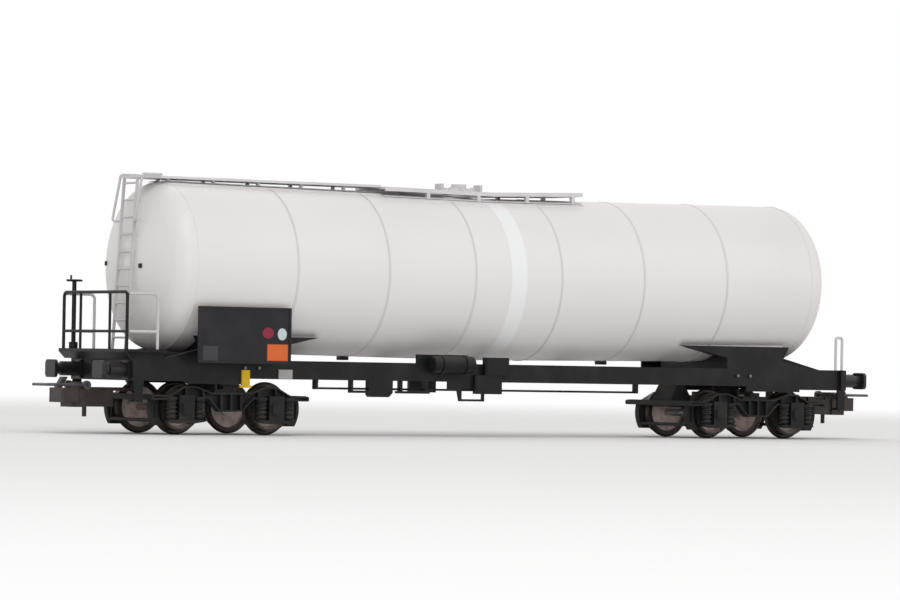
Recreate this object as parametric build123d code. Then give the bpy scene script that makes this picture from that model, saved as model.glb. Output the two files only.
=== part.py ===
from build123d import *
import math
import os

# H0 scale model (1:87) of a four-axle bogie tank car with a slightly kinked tank.
# All lengths are millimetres of the model itself. X runs along the car, with the brakeman's
# platform at the -X end, Y runs across it and Z is up. The origin lies midway between the
# bogies, on the floor that the wheel flanges stand on. Heights named "above rail" start at
# the top of the rail, which the treads would touch, one flange height above that floor.

# Wheelsets
TREAD_RADIUS = 4.65
FLANGE_HEIGHT = 0.75
WHEEL_BACK = 7.15
WHEEL_WIDTH = 2.8
FLANGE_WIDTH = 0.85
TREAD_DROP = 0.1
RIM_DEPTH = 0.55
DISC_INSET = 0.55
DISC_THICKNESS = 0.9
HUB_RADIUS = 1.7
HUB_INSET = 0.15
AXLE_RADIUS = 0.75
AXLE_CONE_START = 10.7
AXLE_TIP = 12.3
AXLE_TIP_RADIUS = 0.12
WHEEL_SEAT_GAP = 0.02

# Bogies
PIVOT_X = 65.6
WHEELBASE = 20.7
SIDE_INNER_Y = 10.3
SIDE_DEPTH = 1.9
SIDE_WEB = 0.8
SIDE_LIP = 0.35
SIDE_CORNER = 0.3
SIDE_BOTTOM = 4.0
SIDE_WAIST_DEPTH = 3.8
SIDE_BOTTOM_HALF = 2.6
SIDE_SHOULDER = 5.3
SIDE_SPRING_RISE = 2.6
SIDE_WAIST_HALF = 4.5
SIDE_ARCH_RISE = 1.2
SIDE_ARCH_START = 8.0
SIDE_ARCH_END = 10.6
SIDE_RUNOUT = 14.0
SIDE_OVERHANG = 7.75
SIDE_END = WHEELBASE / 2 + SIDE_OVERHANG
SIDE_END_BOTTOM = 6.2
SIDE_END_THICKNESS = 1.0
SIDE_RIB = 0.35
SIDE_RIB_SHARES = (0.0, 0.22, 0.62, 1.0)
BOX_HALF = 1.75
BOX_TOP = 7.2
BOX_DEPTH = 2.35
BOX_FLANGE_RADIUS = 1.5
BOX_FLANGE_DEPTH = 0.15
BOX_COVER_RADIUS = 1.15
BOX_COVER_DEPTH = 0.35
BEARING_GAP = 0.08
SPRING_OFFSET = 3.15
SPRING_RADIUS = 1.05
SPRING_CORE_SHARE = 0.78
SPRING_COILS = 4
SPRING_SEAT = 2.3
SPRING_SEAT_THICKNESS = 0.7
SEAT_TAPER = 0.35
SPRING_Y = 11.75
SPRING_CAP_RADIUS = 1.2
SPRING_CAP_HEIGHT = 0.6
BOLSTER_HALF = 3.3
BOLSTER_TOP = 8.4
BOLSTER_BOTTOM = 6.2
BEARER_PAD_HALF = 1.2
BEARER_PAD_HEIGHT = 0.8
PIVOT_PLATE_RADIUS = 3.0
PIVOT_PLATE_TOP = 10.2
PIVOT_PIN_RADIUS = 1.6
PIVOT_PIN_TOP = 13.2
PIVOT_GAP = 0.08
HEADSTOCK_THICKNESS = 1.6
HEADSTOCK_TOP = 7.3
HEADSTOCK_BOTTOM = 6.2
SHOE_INNER_Y = 8.3
SHOE_WIDTH = 1.5
SHOE_GAP = 0.45
SHOE_THICKNESS = 1.7
SHOE_BOTTOM = 1.1
SHOE_SLIT = 0.4
SHOE_SLIT_BACK = 0.7
SHOE_SLIT_HEIGHT = 3.2
BRAKE_BEAM_RADIUS = 0.35
BRAKE_BEAM_HEIGHT = 2.15

# Tank
TANK_RADIUS = 17.05
TANK_BOTTOM = 15.2
TANK_AXIS = TANK_BOTTOM + TANK_RADIUS
TANK_STRAIGHT = 76.2
TANK_CROWN_SHARE = 2.3
TANK_KNUCKLE = 4.75
KINK_DEG = 0.6
SEAM_OFFSETS = (10.7, 31.7, 53.3)
SEAM_WIDTH = 0.32
SEAM_HEIGHT = 0.1
OVERRUN = 5.0
SEAT_GAP = 0.05

# Underframe
BEAM_FACE = 88.6
BEAM_THICKNESS = 1.3
BEAM_HALF = 13.2
BEAM_BOTTOM = 10.0
SILL_OUTER_Y = 12.4
SILL_WIDTH = 1.4
SILL_WEB = 0.6
SILL_EDGE = 0.5
SILL_TOP = 14.4
SILL_BOTTOM = 10.65
SKIRT_START = 62.2
SKIRT_END = 76.5
SKIRT_BOTTOM = 9.5
FRAME_BOLSTER_HALF = 3.4
FRAME_BOLSTER_BOTTOM = 12.3
CENTRE_PLATE_BOTTOM = 10.45
CROSS_PLACES = (-45.0, -22.0, 0.0, 22.0, 45.0)
CROSS_HALF = 0.7
CROSS_BOTTOM = 12.4
END_FLOOR_THICKNESS = 0.8
END_FLOOR_TOP = 13.6
COUPLER_PIVOT_X = 81.0
COUPLER_BOSS_RADIUS = 1.7
COUPLER_BOSS_BOTTOM = 8.9
COUPLER_PIN_RADIUS = 0.7
COUPLER_PIN_BOTTOM = 7.4
GUSSET_END = 81.2
GUSSET_WEB = 0.7
GUSSET_FLANGE = 0.3
GUSSET_LEDGE = 0.3

# Saddles that carry the tank
SADDLE_TOP = 19.2
SADDLE_TIP = 45.4
SADDLE_OUTER = 73.5
SADDLE_FOOT_OUTER = 72.1
SADDLE_FOOT_INNER = 57.0
SADDLE_SHOULDER = 16.7
SADDLE_OUTER_SHOULDER = 16.7
SADDLE_HALF = 12.4
SADDLE_WALL = 1.2

# Buffers
BUFFER_Y = 10.06
BUFFER_HEIGHT = 12.1
BUFFER_FACE = 95.0
BUFFER_HEAD_WIDTH = 4.3
BUFFER_HEAD_HEIGHT = 3.6
BUFFER_HEAD_THICKNESS = 0.7
BUFFER_CORNER = 0.9
BUFFER_SLEEVE_RADIUS = 1.45
BUFFER_PLUNGER_RADIUS = 1.1
BUFFER_SLEEVE_LENGTH = 4.0
BUFFER_BASE = 3.7
BUFFER_BASE_THICKNESS = 0.4

# Platform, railing and brake column
DECK_OUTER = 91.1
DECK_INNER = 81.4
DECK_HALF = 14.0
DECK_TOP = 16.2
DECK_THICKNESS = 0.6
DECK_RIM = 0.35
DECK_RECESS = 0.12
DECK_RIB = 0.7
APRON_FOOT = 89.7
APRON_BOTTOM = 14.2
RAIL_PLANE = 90.3
RAIL_HALF = 13.4
RAIL_RADIUS = 0.33
RAIL_TOP_HEIGHT = 27.5
RAIL_MID_HEIGHT = 19.7
RAIL_POST_Y = 6.2
RAIL_POST_RADIUS = 0.28
RAIL_BEND = 1.0
GREY_POST_X = 83.4
GREY_RAIL_DROP = 0.3
GREY_RAIL_RADIUS = 0.3
COLUMN_Y = 11.1
COLUMN_RADIUS = 0.45
COLUMN_TOP = 29.9
COLUMN_FOOT_RADIUS = 0.9
COLUMN_FOOT_HEIGHT = 1.4
HANDWHEEL_RADIUS = 1.45
HANDWHEEL_RIM = 0.22
HANDWHEEL_KNOB_HEIGHT = 1.1
HANDWHEEL_KNOB_RADIUS = 0.2

# Ladder and its hand rails
LADDER_HALF = 2.8
LADDER_FOOT_X = 84.8
LADDER_TOP_X = 82.75
LADDER_STILE = 0.5
LADDER_RUNG_RADIUS = 0.22
LADDER_RUNGS = 10
GRAB_Y = 4.6
GRAB_RADIUS = 0.26
GRAB_BEND = 0.6
GRAB_INNER_X = 78.2
GRAB_OUTER_X = 82.6
GRAB_LOW_X = 84.4
GRAB_DROP = 9.2

# Walkways on top of the tank
WALK_LIFT = 1.8
WALK_TOP = TANK_AXIS + TANK_RADIUS + WALK_LIFT
WALK_THICKNESS = 0.5
WALK_RIM = 0.4
WALK_RECESS = 0.15
WALK_HALF = 4.2
WALK_START = 83.0
WALK_STEP = 26.4
WALK_LEG_PLACES = (-75.5, -65.0, -54.6, -44.4, -34.2)
WALK_LEG = 0.6
WALK_LEG_Y = 2.15
WALK_RAIL_WIDTH = 0.5
WALK_RAIL_HEIGHT = 0.15
WALK_RAIL_START = 77.5
WIDE_WALK_LIFT = 1.45
WIDE_WALK_TOP = TANK_AXIS + TANK_RADIUS + WIDE_WALK_LIFT
WIDE_WALK_SAG = 0.3
WIDE_WALK_RISE = 0.4
WIDE_WALK_HALF = 6.0
WIDE_WALK_END = 22.9
WIDE_LEG_PLACES = (-15.8, -3.3, 8.9, 20.5)
WIDE_LEG = 0.8

# Manhole
MANHOLE_X = -4.6
MANHOLE_RADIUS = 3.2
MANHOLE_FLANGE = 3.7
MANHOLE_FLANGE_THICKNESS = 0.5
MANHOLE_RISE = 1.4
MANHOLE_TOP = TANK_AXIS + TANK_RADIUS + MANHOLE_RISE
MANHOLE_LID_RISE = 0.7
MANHOLE_OPENING_GAP = 1.9
MANHOLE_BOLTS = 8
MANHOLE_BOLT_RADIUS = 0.3
MANHOLE_BOSS_RADIUS = 1.6
MANHOLE_BOSS_HEIGHT = 1.4
MANHOLE_BOSS_TOP = MANHOLE_TOP + MANHOLE_BOSS_HEIGHT
MANHOLE_HINGE_REACH = 5.1
MANHOLE_HINGE_THICKNESS = 0.6
MANHOLE_HINGE_HALF = 1.3
MANHOLE_HINGE_ARM = 0.5

# Side panels
PANEL_INNER_X = 54.4
PANEL_OUTER_X = 75.7
PANEL_SETBACK = 0.65
PANEL_FACE_Y = TANK_RADIUS - PANEL_SETBACK
PANEL_THICKNESS = 0.5
PANEL_BOTTOM = 13.7
PANEL_TOP = 25.0
PANEL_RIM = 0.45
PANEL_RIM_DEPTH = 0.15
PANEL_ARM = 0.8
PANEL_ARM_SHARES = (0.25, 0.7)

# Brake gear, outlets and fittings under the tank
RESERVOIR_RADIUS = 1.75
RESERVOIR_START = -19.6
RESERVOIR_END = -9.5
RESERVOIR_CROWN = 0.6
RESERVOIR_HEIGHT = 14.2
RESERVOIR_SILL_GAP = 0.1
RESERVOIR_STRAP_WIDTH = 0.6
RESERVOIR_STRAP = 0.2
RESERVOIR_STRAP_SHARES = (0.22, 0.78)
RESERVOIR_PLATE = 0.5
RESERVOIR_PLATE_TOP = 16.2
RESERVOIR_PLATE_START = -22.0
ROD_RADIUS = 0.22
ROD_Y = -10.4
ROD_HEIGHT = 8.95
ROD_START = -45.3
ROD_END = 34.0
ROD_HANGER = 0.6
ROD_HANGER_SEAT = 0.5
VALVE_START = -33.4
VALVE_END = -27.7
VALVE_BOTTOM = 7.3
VALVE_TAPER = 0.9
VALVE_DEPTH = 1.5
TRAY_START = -37.6
TRAY_BOTTOM = 8.1
TRAY_THICKNESS = 0.5
CRADLE_START = -26.3
CRADLE_END = -18.7
CRADLE_POST = 0.4
CRADLE_POST_SHARES = (0.1, 0.9)
OUTLET_UPPER = (-5.9, 0.0)
OUTLET_LOWER = (-8.2, -1.5)
OUTLET_TOP = 15.8
OUTLET_SPLIT = 12.1
OUTLET_BOTTOM = 8.2
OUTLET_DEPTH = 1.5
OUTLET_STEP = 0.3
OUTLET_CORNER = 0.35
STIRRUP_START = -11.8
STIRRUP_END = -5.3
STIRRUP_BOTTOM = 6.65
STIRRUP_THICKNESS = 0.45
STIRRUP_ROOT = -14.2
STIRRUP_ROOT_END = -8.2
STIRRUP_ROOT_DEPTH = 1.5
LEVER_X = 62.7
LEVER_WIDTH = 1.8
LEVER_DEPTH = 0.45
LEVER_TOP = 12.4
LEVER_BOTTOM = 8.85
LEVER_FOOT_HALF = 1.3
LEVER_FOOT_HEIGHT = 0.5
LEVER_PLATE_START = 51.85
LEVER_PLATE_END = 55.0
LEVER_PLATE_BOTTOM = 10.7
LEVER_PLATE_TOP = 12.6
LEVER_PLATE_THICKNESS = 0.35

# Steps, handles and brackets at the ends
STEP_START = 86.35
STEP_END = 88.3
STEP_BOTTOM = 5.75
STEP_THICKNESS = 0.45
STEP_OUTER_Y = 13.2
STEP_TREAD = 2.4
HANDLE_START = 86.1
HANDLE_END = 87.8
HANDLE_Y = 12.6
HANDLE_TOP = 21.5
HANDLE_RADIUS = 0.3
HANDLE_BEND = 0.5
END_BRACKETS = ((-5.0, 32.9), (13.0, 33.6))
END_BRACKET_SIZE = 0.9
END_BRACKET_DEPTH = 1.0

# Couplings
COUPLER_ARM_TOP = 8.5
COUPLER_ARM_THICKNESS = 0.7
COUPLER_ARM_HALF = 1.5
COUPLER_POCKET_START = 86.9
COUPLER_POCKET_END = 93.2
COUPLER_POCKET_HALF = 1.9
COUPLER_POCKET_BOTTOM = 4.6
COUPLER_NOTCH = (88.9, 91.6)
COUPLER_NOTCH_DEPTH = 0.6
COUPLER_NECK_END = 96.5
COUPLER_NECK_HALF = 2.4
COUPLER_NECK_BOTTOM = 4.5
COUPLER_NECK_TOP = 8.0
COUPLER_HEAD_START = 94.9
COUPLER_HEAD_END = 98.9
COUPLER_HEAD_HALF = 3.0
COUPLER_HEAD_TOP = 8.3
COUPLER_HEAD_BOTTOM = 5.4
COUPLER_HEAD_CORNER = 0.5
COUPLER_HOOK_TOP = 10.5
COUPLER_HOOK_LEAN = 1.3
COUPLER_HOOK_LENGTH = 1.1
COUPLER_HOOK_HALF = 0.7
COUPLER_PIVOT_GAP = 0.08
BAIL_PIVOT_X = 94.0
BAIL_TIP = 102.2
BAIL_HALF = 4.4
BAIL_WIRE = 0.28
BAIL_EYE = 0.6
BAIL_EYE_HALF = 0.36
BAIL_HEIGHT = 8.9
TRIP_X = 92.4
TRIP_RADIUS = 0.45
TRIP_BOTTOM = 2.6

AXLE_HEIGHT = FLANGE_HEIGHT + TREAD_RADIUS
FLANGE_RADIUS = TREAD_RADIUS + FLANGE_HEIGHT


def above_rail(height):
    return FLANGE_HEIGHT + height


def block(x0, x1, y0, y1, z0, z1):
    """A box between two corners."""
    size = Box(abs(x1 - x0), abs(y1 - y0), abs(z1 - z0))
    return Pos((x0 + x1) / 2, (y0 + y1) / 2, (z0 + z1) / 2) * size


def prism_y(points, y0, y1):
    """A prism whose outline is a list of (x, z) points, between two places on Y."""
    face = Plane.XZ.offset(-max(y0, y1)) * make_face(Polyline(*points, close=True))
    return extrude(face, abs(y1 - y0))


def prism_x(points, x0, x1):
    """A prism whose outline is a list of (y, z) points, between two places on X."""
    face = Plane.YZ.offset(min(x0, x1)) * make_face(Polyline(*points, close=True))
    return extrude(face, abs(x1 - x0))


def rod(start, end, radius):
    """A round bar from one point to another."""
    start, end = Vector(*start), Vector(*end)
    along = end - start
    return Plane(start, z_dir=along) * Cylinder(
        radius, along.length, align=(Align.CENTER, Align.CENTER, Align.MIN)
    )


def bent_wire(points, radius, bend):
    """A round wire along straight runs joined by arcs."""
    path = FilletPolyline(*points, radius=bend)
    return sweep(Plane(path @ 0, z_dir=path % 0) * Circle(radius), path)


def spun_about_y(points):
    """A solid of revolution about the Y axis from a list of (y, radius) points."""
    face = make_face(Polyline(*[(radius, y) for y, radius in points], close=True))
    return revolve(face, Axis.Y)


def mirrored_y(shape):
    return shape + mirror(shape, Plane.XZ)


def mirrored_x(shape):
    return shape + mirror(shape, Plane.YZ)


def joined(shapes):
    """All the shapes of a list in one."""
    shapes = list(shapes)
    return shapes[0] + shapes[1:] if len(shapes) > 1 else shapes[0]


# Tank

def half_tank(radius, with_seams=True):
    """The +X half of the tank, level, with its dished end, about the X axis."""
    crown = TANK_CROWN_SHARE * radius
    reach = math.asin((radius - TANK_KNUCKLE) / (crown - TANK_KNUCKLE))
    crown_centre = TANK_STRAIGHT - (crown - TANK_KNUCKLE) * math.cos(reach)
    knuckle_mid = (math.pi / 2 + reach) / 2
    knuckle_centre = radius - TANK_KNUCKLE
    start = (TANK_STRAIGHT, radius)
    middle = (
        TANK_STRAIGHT + TANK_KNUCKLE * math.cos(knuckle_mid),
        knuckle_centre + TANK_KNUCKLE * math.sin(knuckle_mid),
    )
    join = (
        TANK_STRAIGHT + TANK_KNUCKLE * math.cos(reach),
        knuckle_centre + TANK_KNUCKLE * math.sin(reach),
    )
    crown_middle = (
        crown_centre + crown * math.cos(reach / 2),
        crown * math.sin(reach / 2),
    )
    apex = (crown_centre + crown, 0)
    outline = [
        Line((-OVERRUN, 0), (-OVERRUN, radius)),
        Line((-OVERRUN, radius), start),
        ThreePointArc(start, middle, join),
        ThreePointArc(join, crown_middle, apex),
        Line(apex, (-OVERRUN, 0)),
    ]
    shape = revolve(make_face(outline), Axis.X)
    if with_seams:
        for place in (*SEAM_OFFSETS, TANK_STRAIGHT):
            ring = Cylinder(radius + SEAM_HEIGHT, SEAM_WIDTH) - Cylinder(
                radius - SEAM_HEIGHT, SEAM_WIDTH
            )
            shape += Pos(place, 0, 0) * Rot(0, 90, 0) * ring
    return shape


def tilted(shape):
    """Turns a shape of the level +X half about the kink, and lifts it to the tank's height."""
    return Pos(0, 0, above_rail(TANK_AXIS)) * Rot(0, -KINK_DEG, 0) * shape


def whole_tank(radius, with_seams=True):
    """Both halves, mitred at the kink."""
    reach = TANK_STRAIGHT + radius
    keep = block(0, reach + OVERRUN, -reach, reach, -reach, above_rail(reach + radius))
    return mirrored_x(tilted(half_tank(radius, with_seams)) & keep)


# Underframe

def side_sill():
    """The -Y sill: a channel, flat face outwards, with gussets above and a skirt over each bogie."""
    end = BEAM_FACE - BEAM_THICKNESS
    low, high = above_rail(SILL_BOTTOM), above_rail(SILL_TOP)
    inner = SILL_OUTER_Y - SILL_WIDTH
    beam = block(-end, end, -SILL_OUTER_Y, -inner, low, high)
    hollow = block(-end, end, -SILL_OUTER_Y + SILL_WEB, -inner, low + SILL_EDGE, high - SILL_EDGE)
    root, shoulder = SADDLE_FOOT_OUTER, above_rail(SADDLE_OUTER_SHOULDER)
    ledge = GUSSET_FLANGE
    web = prism_y(
        [(root, high), (GUSSET_END, high), (root, shoulder)],
        -SILL_OUTER_Y,
        -SILL_OUTER_Y + GUSSET_WEB,
    )
    flange = prism_y(
        [(root, shoulder), (root, shoulder - ledge), (GUSSET_END, high), (GUSSET_END + ledge, high)],
        -SILL_OUTER_Y - GUSSET_LEDGE,
        -inner,
    )
    skirt_low, end_low = above_rail(SKIRT_BOTTOM), above_rail(BEAM_BOTTOM)
    skirt = prism_y(
        [
            (SKIRT_START, low + SILL_EDGE),
            (SKIRT_START, skirt_low),
            (SKIRT_END, skirt_low),
            (SKIRT_END, end_low),
            (end, end_low),
            (end, low + SILL_EDGE),
        ],
        -SILL_OUTER_Y,
        -SILL_OUTER_Y + SILL_WEB,
    )
    return (beam - hollow) + mirrored_x(web + flange + skirt)


def frame_end():
    """The +X end: buffer beam, bolster with its pivot bore, floor and coupling boss."""
    inner = SILL_OUTER_Y - SILL_WIDTH
    beam_inner = BEAM_FACE - BEAM_THICKNESS
    low, high = above_rail(BEAM_BOTTOM), above_rail(SILL_TOP)
    parts = [block(beam_inner, BEAM_FACE, -BEAM_HALF, BEAM_HALF, low, high)]
    bolster_low = above_rail(FRAME_BOLSTER_BOTTOM)
    parts.append(
        block(
            PIVOT_X - FRAME_BOLSTER_HALF,
            PIVOT_X + FRAME_BOLSTER_HALF,
            -inner,
            inner,
            bolster_low,
            above_rail(SILL_TOP),
        )
    )
    parts.append(
        rod(
            (PIVOT_X, 0, above_rail(CENTRE_PLATE_BOTTOM)),
            (PIVOT_X, 0, bolster_low),
            PIVOT_PLATE_RADIUS,
        )
    )
    floor_top = above_rail(END_FLOOR_TOP)
    floor_low = floor_top - END_FLOOR_THICKNESS
    floor_start = PIVOT_X + FRAME_BOLSTER_HALF
    parts.append(block(floor_start, beam_inner, -inner, inner, floor_low, floor_top))
    boss = (COUPLER_PIVOT_X, 0, above_rail(COUPLER_BOSS_BOTTOM))
    parts.append(rod(boss, (COUPLER_PIVOT_X, 0, floor_low), COUPLER_BOSS_RADIUS))
    tip = (COUPLER_PIVOT_X, 0, above_rail(COUPLER_PIN_BOTTOM))
    parts.append(rod(tip, boss, COUPLER_PIN_RADIUS))
    bore = rod(
        (PIVOT_X, 0, above_rail(CENTRE_PLATE_BOTTOM)),
        (PIVOT_X, 0, above_rail(SILL_TOP)),
        PIVOT_PIN_RADIUS + PIVOT_GAP,
    )
    return joined(parts) - bore


def cross_members():
    """Bars between the two sills, under the upper edge of their channels."""
    reach = SILL_OUTER_Y - SILL_WEB
    low, high = above_rail(CROSS_BOTTOM), above_rail(SILL_TOP) - SILL_EDGE
    return joined(
        block(x - CROSS_HALF, x + CROSS_HALF, -reach, reach, low, high) for x in CROSS_PLACES
    )


def saddle(tank_space):
    """The +X cradle: side plates with a long wing towards the middle, and cross walls."""
    top, foot = above_rail(SADDLE_TOP), above_rail(SILL_TOP)
    shoulder = above_rail(SADDLE_SHOULDER)
    outline = [
        (SADDLE_TIP, top),
        (SADDLE_OUTER, top),
        (SADDLE_FOOT_OUTER, above_rail(SADDLE_OUTER_SHOULDER)),
        (SADDLE_FOOT_OUTER, foot),
        (SADDLE_FOOT_INNER, foot),
        (SADDLE_FOOT_INNER, shoulder),
    ]
    side = prism_y(outline, -SADDLE_HALF, -SADDLE_HALF + 2 * SADDLE_WALL)
    inner = SADDLE_HALF - SADDLE_WALL
    walls = [
        block(x, x + SADDLE_WALL, -inner, inner, foot, top)
        for x in (SADDLE_FOOT_INNER, SADDLE_FOOT_OUTER - SADDLE_WALL)
    ]
    return mirrored_y(side) + walls - tank_space


# Wheelsets

def wheel():
    """The wheel on the +Y side of an axle, about the Y axis."""
    back, front = WHEEL_BACK, WHEEL_BACK + WHEEL_WIDTH
    bore = AXLE_RADIUS + WHEEL_SEAT_GAP
    rim = TREAD_RADIUS - RIM_DEPTH
    return spun_about_y(
        [
            (back + HUB_INSET, bore),
            (back + HUB_INSET, HUB_RADIUS),
            (back + DISC_INSET, HUB_RADIUS),
            (back + DISC_INSET, rim),
            (back, rim),
            (back, FLANGE_RADIUS - FLANGE_WIDTH / 2),
            (back + FLANGE_WIDTH / 2, FLANGE_RADIUS),
            (back + FLANGE_WIDTH, FLANGE_RADIUS - FLANGE_WIDTH / 2),
            (back + FLANGE_WIDTH, TREAD_RADIUS),
            (front, TREAD_RADIUS - TREAD_DROP),
            (front, rim),
            (front - DISC_INSET, rim),
            (back + DISC_INSET + DISC_THICKNESS, rim - RIM_DEPTH),
            (back + DISC_INSET + DISC_THICKNESS, HUB_RADIUS),
            (front - HUB_INSET, HUB_RADIUS),
            (front - HUB_INSET, bore),
        ]
    )


def axle():
    return spun_about_y(
        [
            (-AXLE_TIP, 0),
            (-AXLE_TIP, AXLE_TIP_RADIUS),
            (-AXLE_CONE_START, AXLE_RADIUS),
            (AXLE_CONE_START, AXLE_RADIUS),
            (AXLE_TIP, AXLE_TIP_RADIUS),
            (AXLE_TIP, 0),
        ]
    )


def bearing_space():
    """The room that one end of an axle needs in its bearing, on the +Y side."""
    return spun_about_y(
        [
            (SIDE_INNER_Y - BEARING_GAP, 0),
            (SIDE_INNER_Y - BEARING_GAP, AXLE_RADIUS + BEARING_GAP),
            (AXLE_CONE_START + BEARING_GAP, AXLE_RADIUS + BEARING_GAP),
            (AXLE_TIP + BEARING_GAP, AXLE_TIP_RADIUS + BEARING_GAP),
            (AXLE_TIP + BEARING_GAP, 0),
        ]
    )


# Bogies

def side_outline(inset=0.0):
    """A side frame's closed outline as (x, z) points, drawn in by an inset."""
    low = above_rail(SIDE_BOTTOM)
    waist = low + SIDE_WAIST_DEPTH
    arch = waist + SIDE_ARCH_RISE - inset
    end_low = above_rail(SIDE_END_BOTTOM)
    end_top = end_low + SIDE_END_THICKNESS - inset
    tip = SIDE_END - inset
    half = [
        (SIDE_BOTTOM_HALF, low + inset),
        (SIDE_SHOULDER, low + SIDE_SPRING_RISE + inset),
        (tip, end_low + inset),
        (tip, end_top),
        (SIDE_RUNOUT, end_top),
        (SIDE_ARCH_END, arch),
        (SIDE_ARCH_START, arch),
        (SIDE_WAIST_HALF, waist - inset),
    ]
    return half + [(-x, z) for x, z in reversed(half)]


def side_frame():
    """The +Y side frame: a web with a lip round its edge and ribs across its pocket."""
    outer = SIDE_INNER_Y + SIDE_DEPTH
    path = FilletPolyline(*side_outline(), radius=SIDE_CORNER, close=True)
    plate = extrude(Plane.XZ.offset(-outer) * make_face(path), SIDE_DEPTH)
    pocket = prism_y(side_outline(SIDE_LIP), SIDE_INNER_Y + SIDE_WEB, outer)
    ribs = []
    for share in SIDE_RIB_SHARES:
        for side in (-1, 1):
            x = side * share * WHEELBASE / 2
            reach = above_rail(SIDE_BOTTOM + SIDE_WAIST_DEPTH + SIDE_ARCH_RISE)
            ribs.append(block(x - SIDE_RIB / 2, x + SIDE_RIB / 2, SIDE_INNER_Y, outer, 0, reach))
    return plate - (pocket - ribs)


def coil_spring():
    """A coil spring as a ribbed column, standing on its seat."""
    low = above_rail(SPRING_SEAT)
    high = above_rail(SIDE_BOTTOM + SIDE_SPRING_RISE)
    pitch = (high - low) / SPRING_COILS
    core = SPRING_CORE_SHARE * SPRING_RADIUS
    points = [(0, low), (core, low)]
    for turn in range(SPRING_COILS):
        points.append((SPRING_RADIUS, low + (turn + 0.5) * pitch))
        points.append((core, low + (turn + 1) * pitch))
    points.append((0, high))
    cap_low, cap_high = high - SPRING_CAP_HEIGHT / 2, high + SPRING_CAP_HEIGHT / 2
    cap = rod((0, 0, cap_low), (0, 0, cap_high), SPRING_CAP_RADIUS)
    return revolve(Plane.XZ * make_face(Polyline(*points, close=True)), Axis.Z) + cap


def axle_box(x):
    """The box that holds one axle end, with its spring seats and two springs, on the +Y side."""
    outer = SIDE_INNER_Y + BOX_DEPTH
    seat_top = above_rail(SPRING_SEAT)
    seat_low = seat_top - SPRING_SEAT_THICKNESS
    parts = [block(x - BOX_HALF, x + BOX_HALF, SIDE_INNER_Y, outer, seat_low, above_rail(BOX_TOP))]
    cover = (x, outer, AXLE_HEIGHT)
    parts.append(rod(cover, (x, outer + BOX_FLANGE_DEPTH, AXLE_HEIGHT), BOX_FLANGE_RADIUS))
    parts.append(rod(cover, (x, outer + BOX_COVER_DEPTH, AXLE_HEIGHT), BOX_COVER_RADIUS))
    reach = SPRING_OFFSET + SPRING_RADIUS
    parts.append(
        prism_y(
            [
                (x - BOX_HALF, seat_low),
                (x + BOX_HALF, seat_low),
                (x + reach, seat_low + SEAT_TAPER),
                (x + reach, seat_top),
                (x - reach, seat_top),
                (x - reach, seat_low + SEAT_TAPER),
            ],
            SPRING_Y - SPRING_RADIUS,
            SPRING_Y + SPRING_RADIUS,
        )
    )
    for side in (-1, 1):
        parts.append(Pos(x + side * SPRING_OFFSET, SPRING_Y, 0) * coil_spring())
    return joined(parts)


def brake_shoe():
    """The shoe beside the tread of the +X, +Y wheel, with its hanger behind a slit."""
    axle_x = WHEELBASE / 2
    inner = TREAD_RADIUS + SHOE_GAP
    outer = inner + SHOE_THICKNESS
    ring = Rot(90, 0, 0) * (Cylinder(outer, SHOE_WIDTH) - Cylinder(inner, SHOE_WIDTH))
    ring = Pos(axle_x, SHOE_INNER_Y + SHOE_WIDTH / 2, AXLE_HEIGHT) * ring
    low, high = above_rail(SHOE_BOTTOM), above_rail(HEADSTOCK_TOP)
    far_y = SHOE_INNER_Y + SHOE_WIDTH
    shoe = ring & block(axle_x, axle_x + outer, SHOE_INNER_Y, far_y, low, high)
    slit_outer = axle_x + outer - SHOE_SLIT_BACK
    slit_top = above_rail(HEADSTOCK_BOTTOM) - SHOE_SLIT
    slit = block(
        slit_outer - SHOE_SLIT,
        slit_outer,
        SHOE_INNER_Y,
        far_y,
        slit_top - SHOE_SLIT_HEIGHT,
        slit_top,
    )
    return shoe - slit


def bogie_frame():
    """The whole frame moulding about its own pivot: side frames, bolster, headstocks, shoes."""
    side_reach = SIDE_INNER_Y + SIDE_WEB
    parts = [side_frame()]
    for place in (-WHEELBASE / 2, WHEELBASE / 2):
        parts.append(axle_box(place))
    headstock = block(
        SIDE_END - HEADSTOCK_THICKNESS,
        SIDE_END,
        0,
        side_reach,
        above_rail(HEADSTOCK_BOTTOM),
        above_rail(HEADSTOCK_TOP),
    )
    beam_x = WHEELBASE / 2 + TREAD_RADIUS + SHOE_GAP + SHOE_THICKNESS / 2
    beam_z = above_rail(BRAKE_BEAM_HEIGHT)
    brake_beam = rod((beam_x, 0, beam_z), (beam_x, SHOE_INNER_Y, beam_z), BRAKE_BEAM_RADIUS)
    parts.append(mirrored_x(headstock + brake_beam + brake_shoe()))
    top = above_rail(BOLSTER_TOP)
    parts.append(
        block(-BOLSTER_HALF, BOLSTER_HALF, 0, side_reach, above_rail(BOLSTER_BOTTOM), top)
    )
    pad_y = SIDE_INNER_Y - BEARER_PAD_HALF / 2
    parts.append(
        block(
            -BEARER_PAD_HALF,
            BEARER_PAD_HALF,
            pad_y - BEARER_PAD_HALF,
            pad_y + BEARER_PAD_HALF,
            top,
            top + BEARER_PAD_HEIGHT,
        )
    )
    frame = joined(parts)
    for place in (-WHEELBASE / 2, WHEELBASE / 2):
        frame -= Pos(place, 0, AXLE_HEIGHT) * bearing_space()
    frame = mirrored_y(frame)
    plate_top = above_rail(PIVOT_PLATE_TOP)
    frame += rod((0, 0, top), (0, 0, plate_top), PIVOT_PLATE_RADIUS)
    frame += rod((0, 0, plate_top), (0, 0, above_rail(PIVOT_PIN_TOP)), PIVOT_PIN_RADIUS)
    return frame


# Couplings

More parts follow.
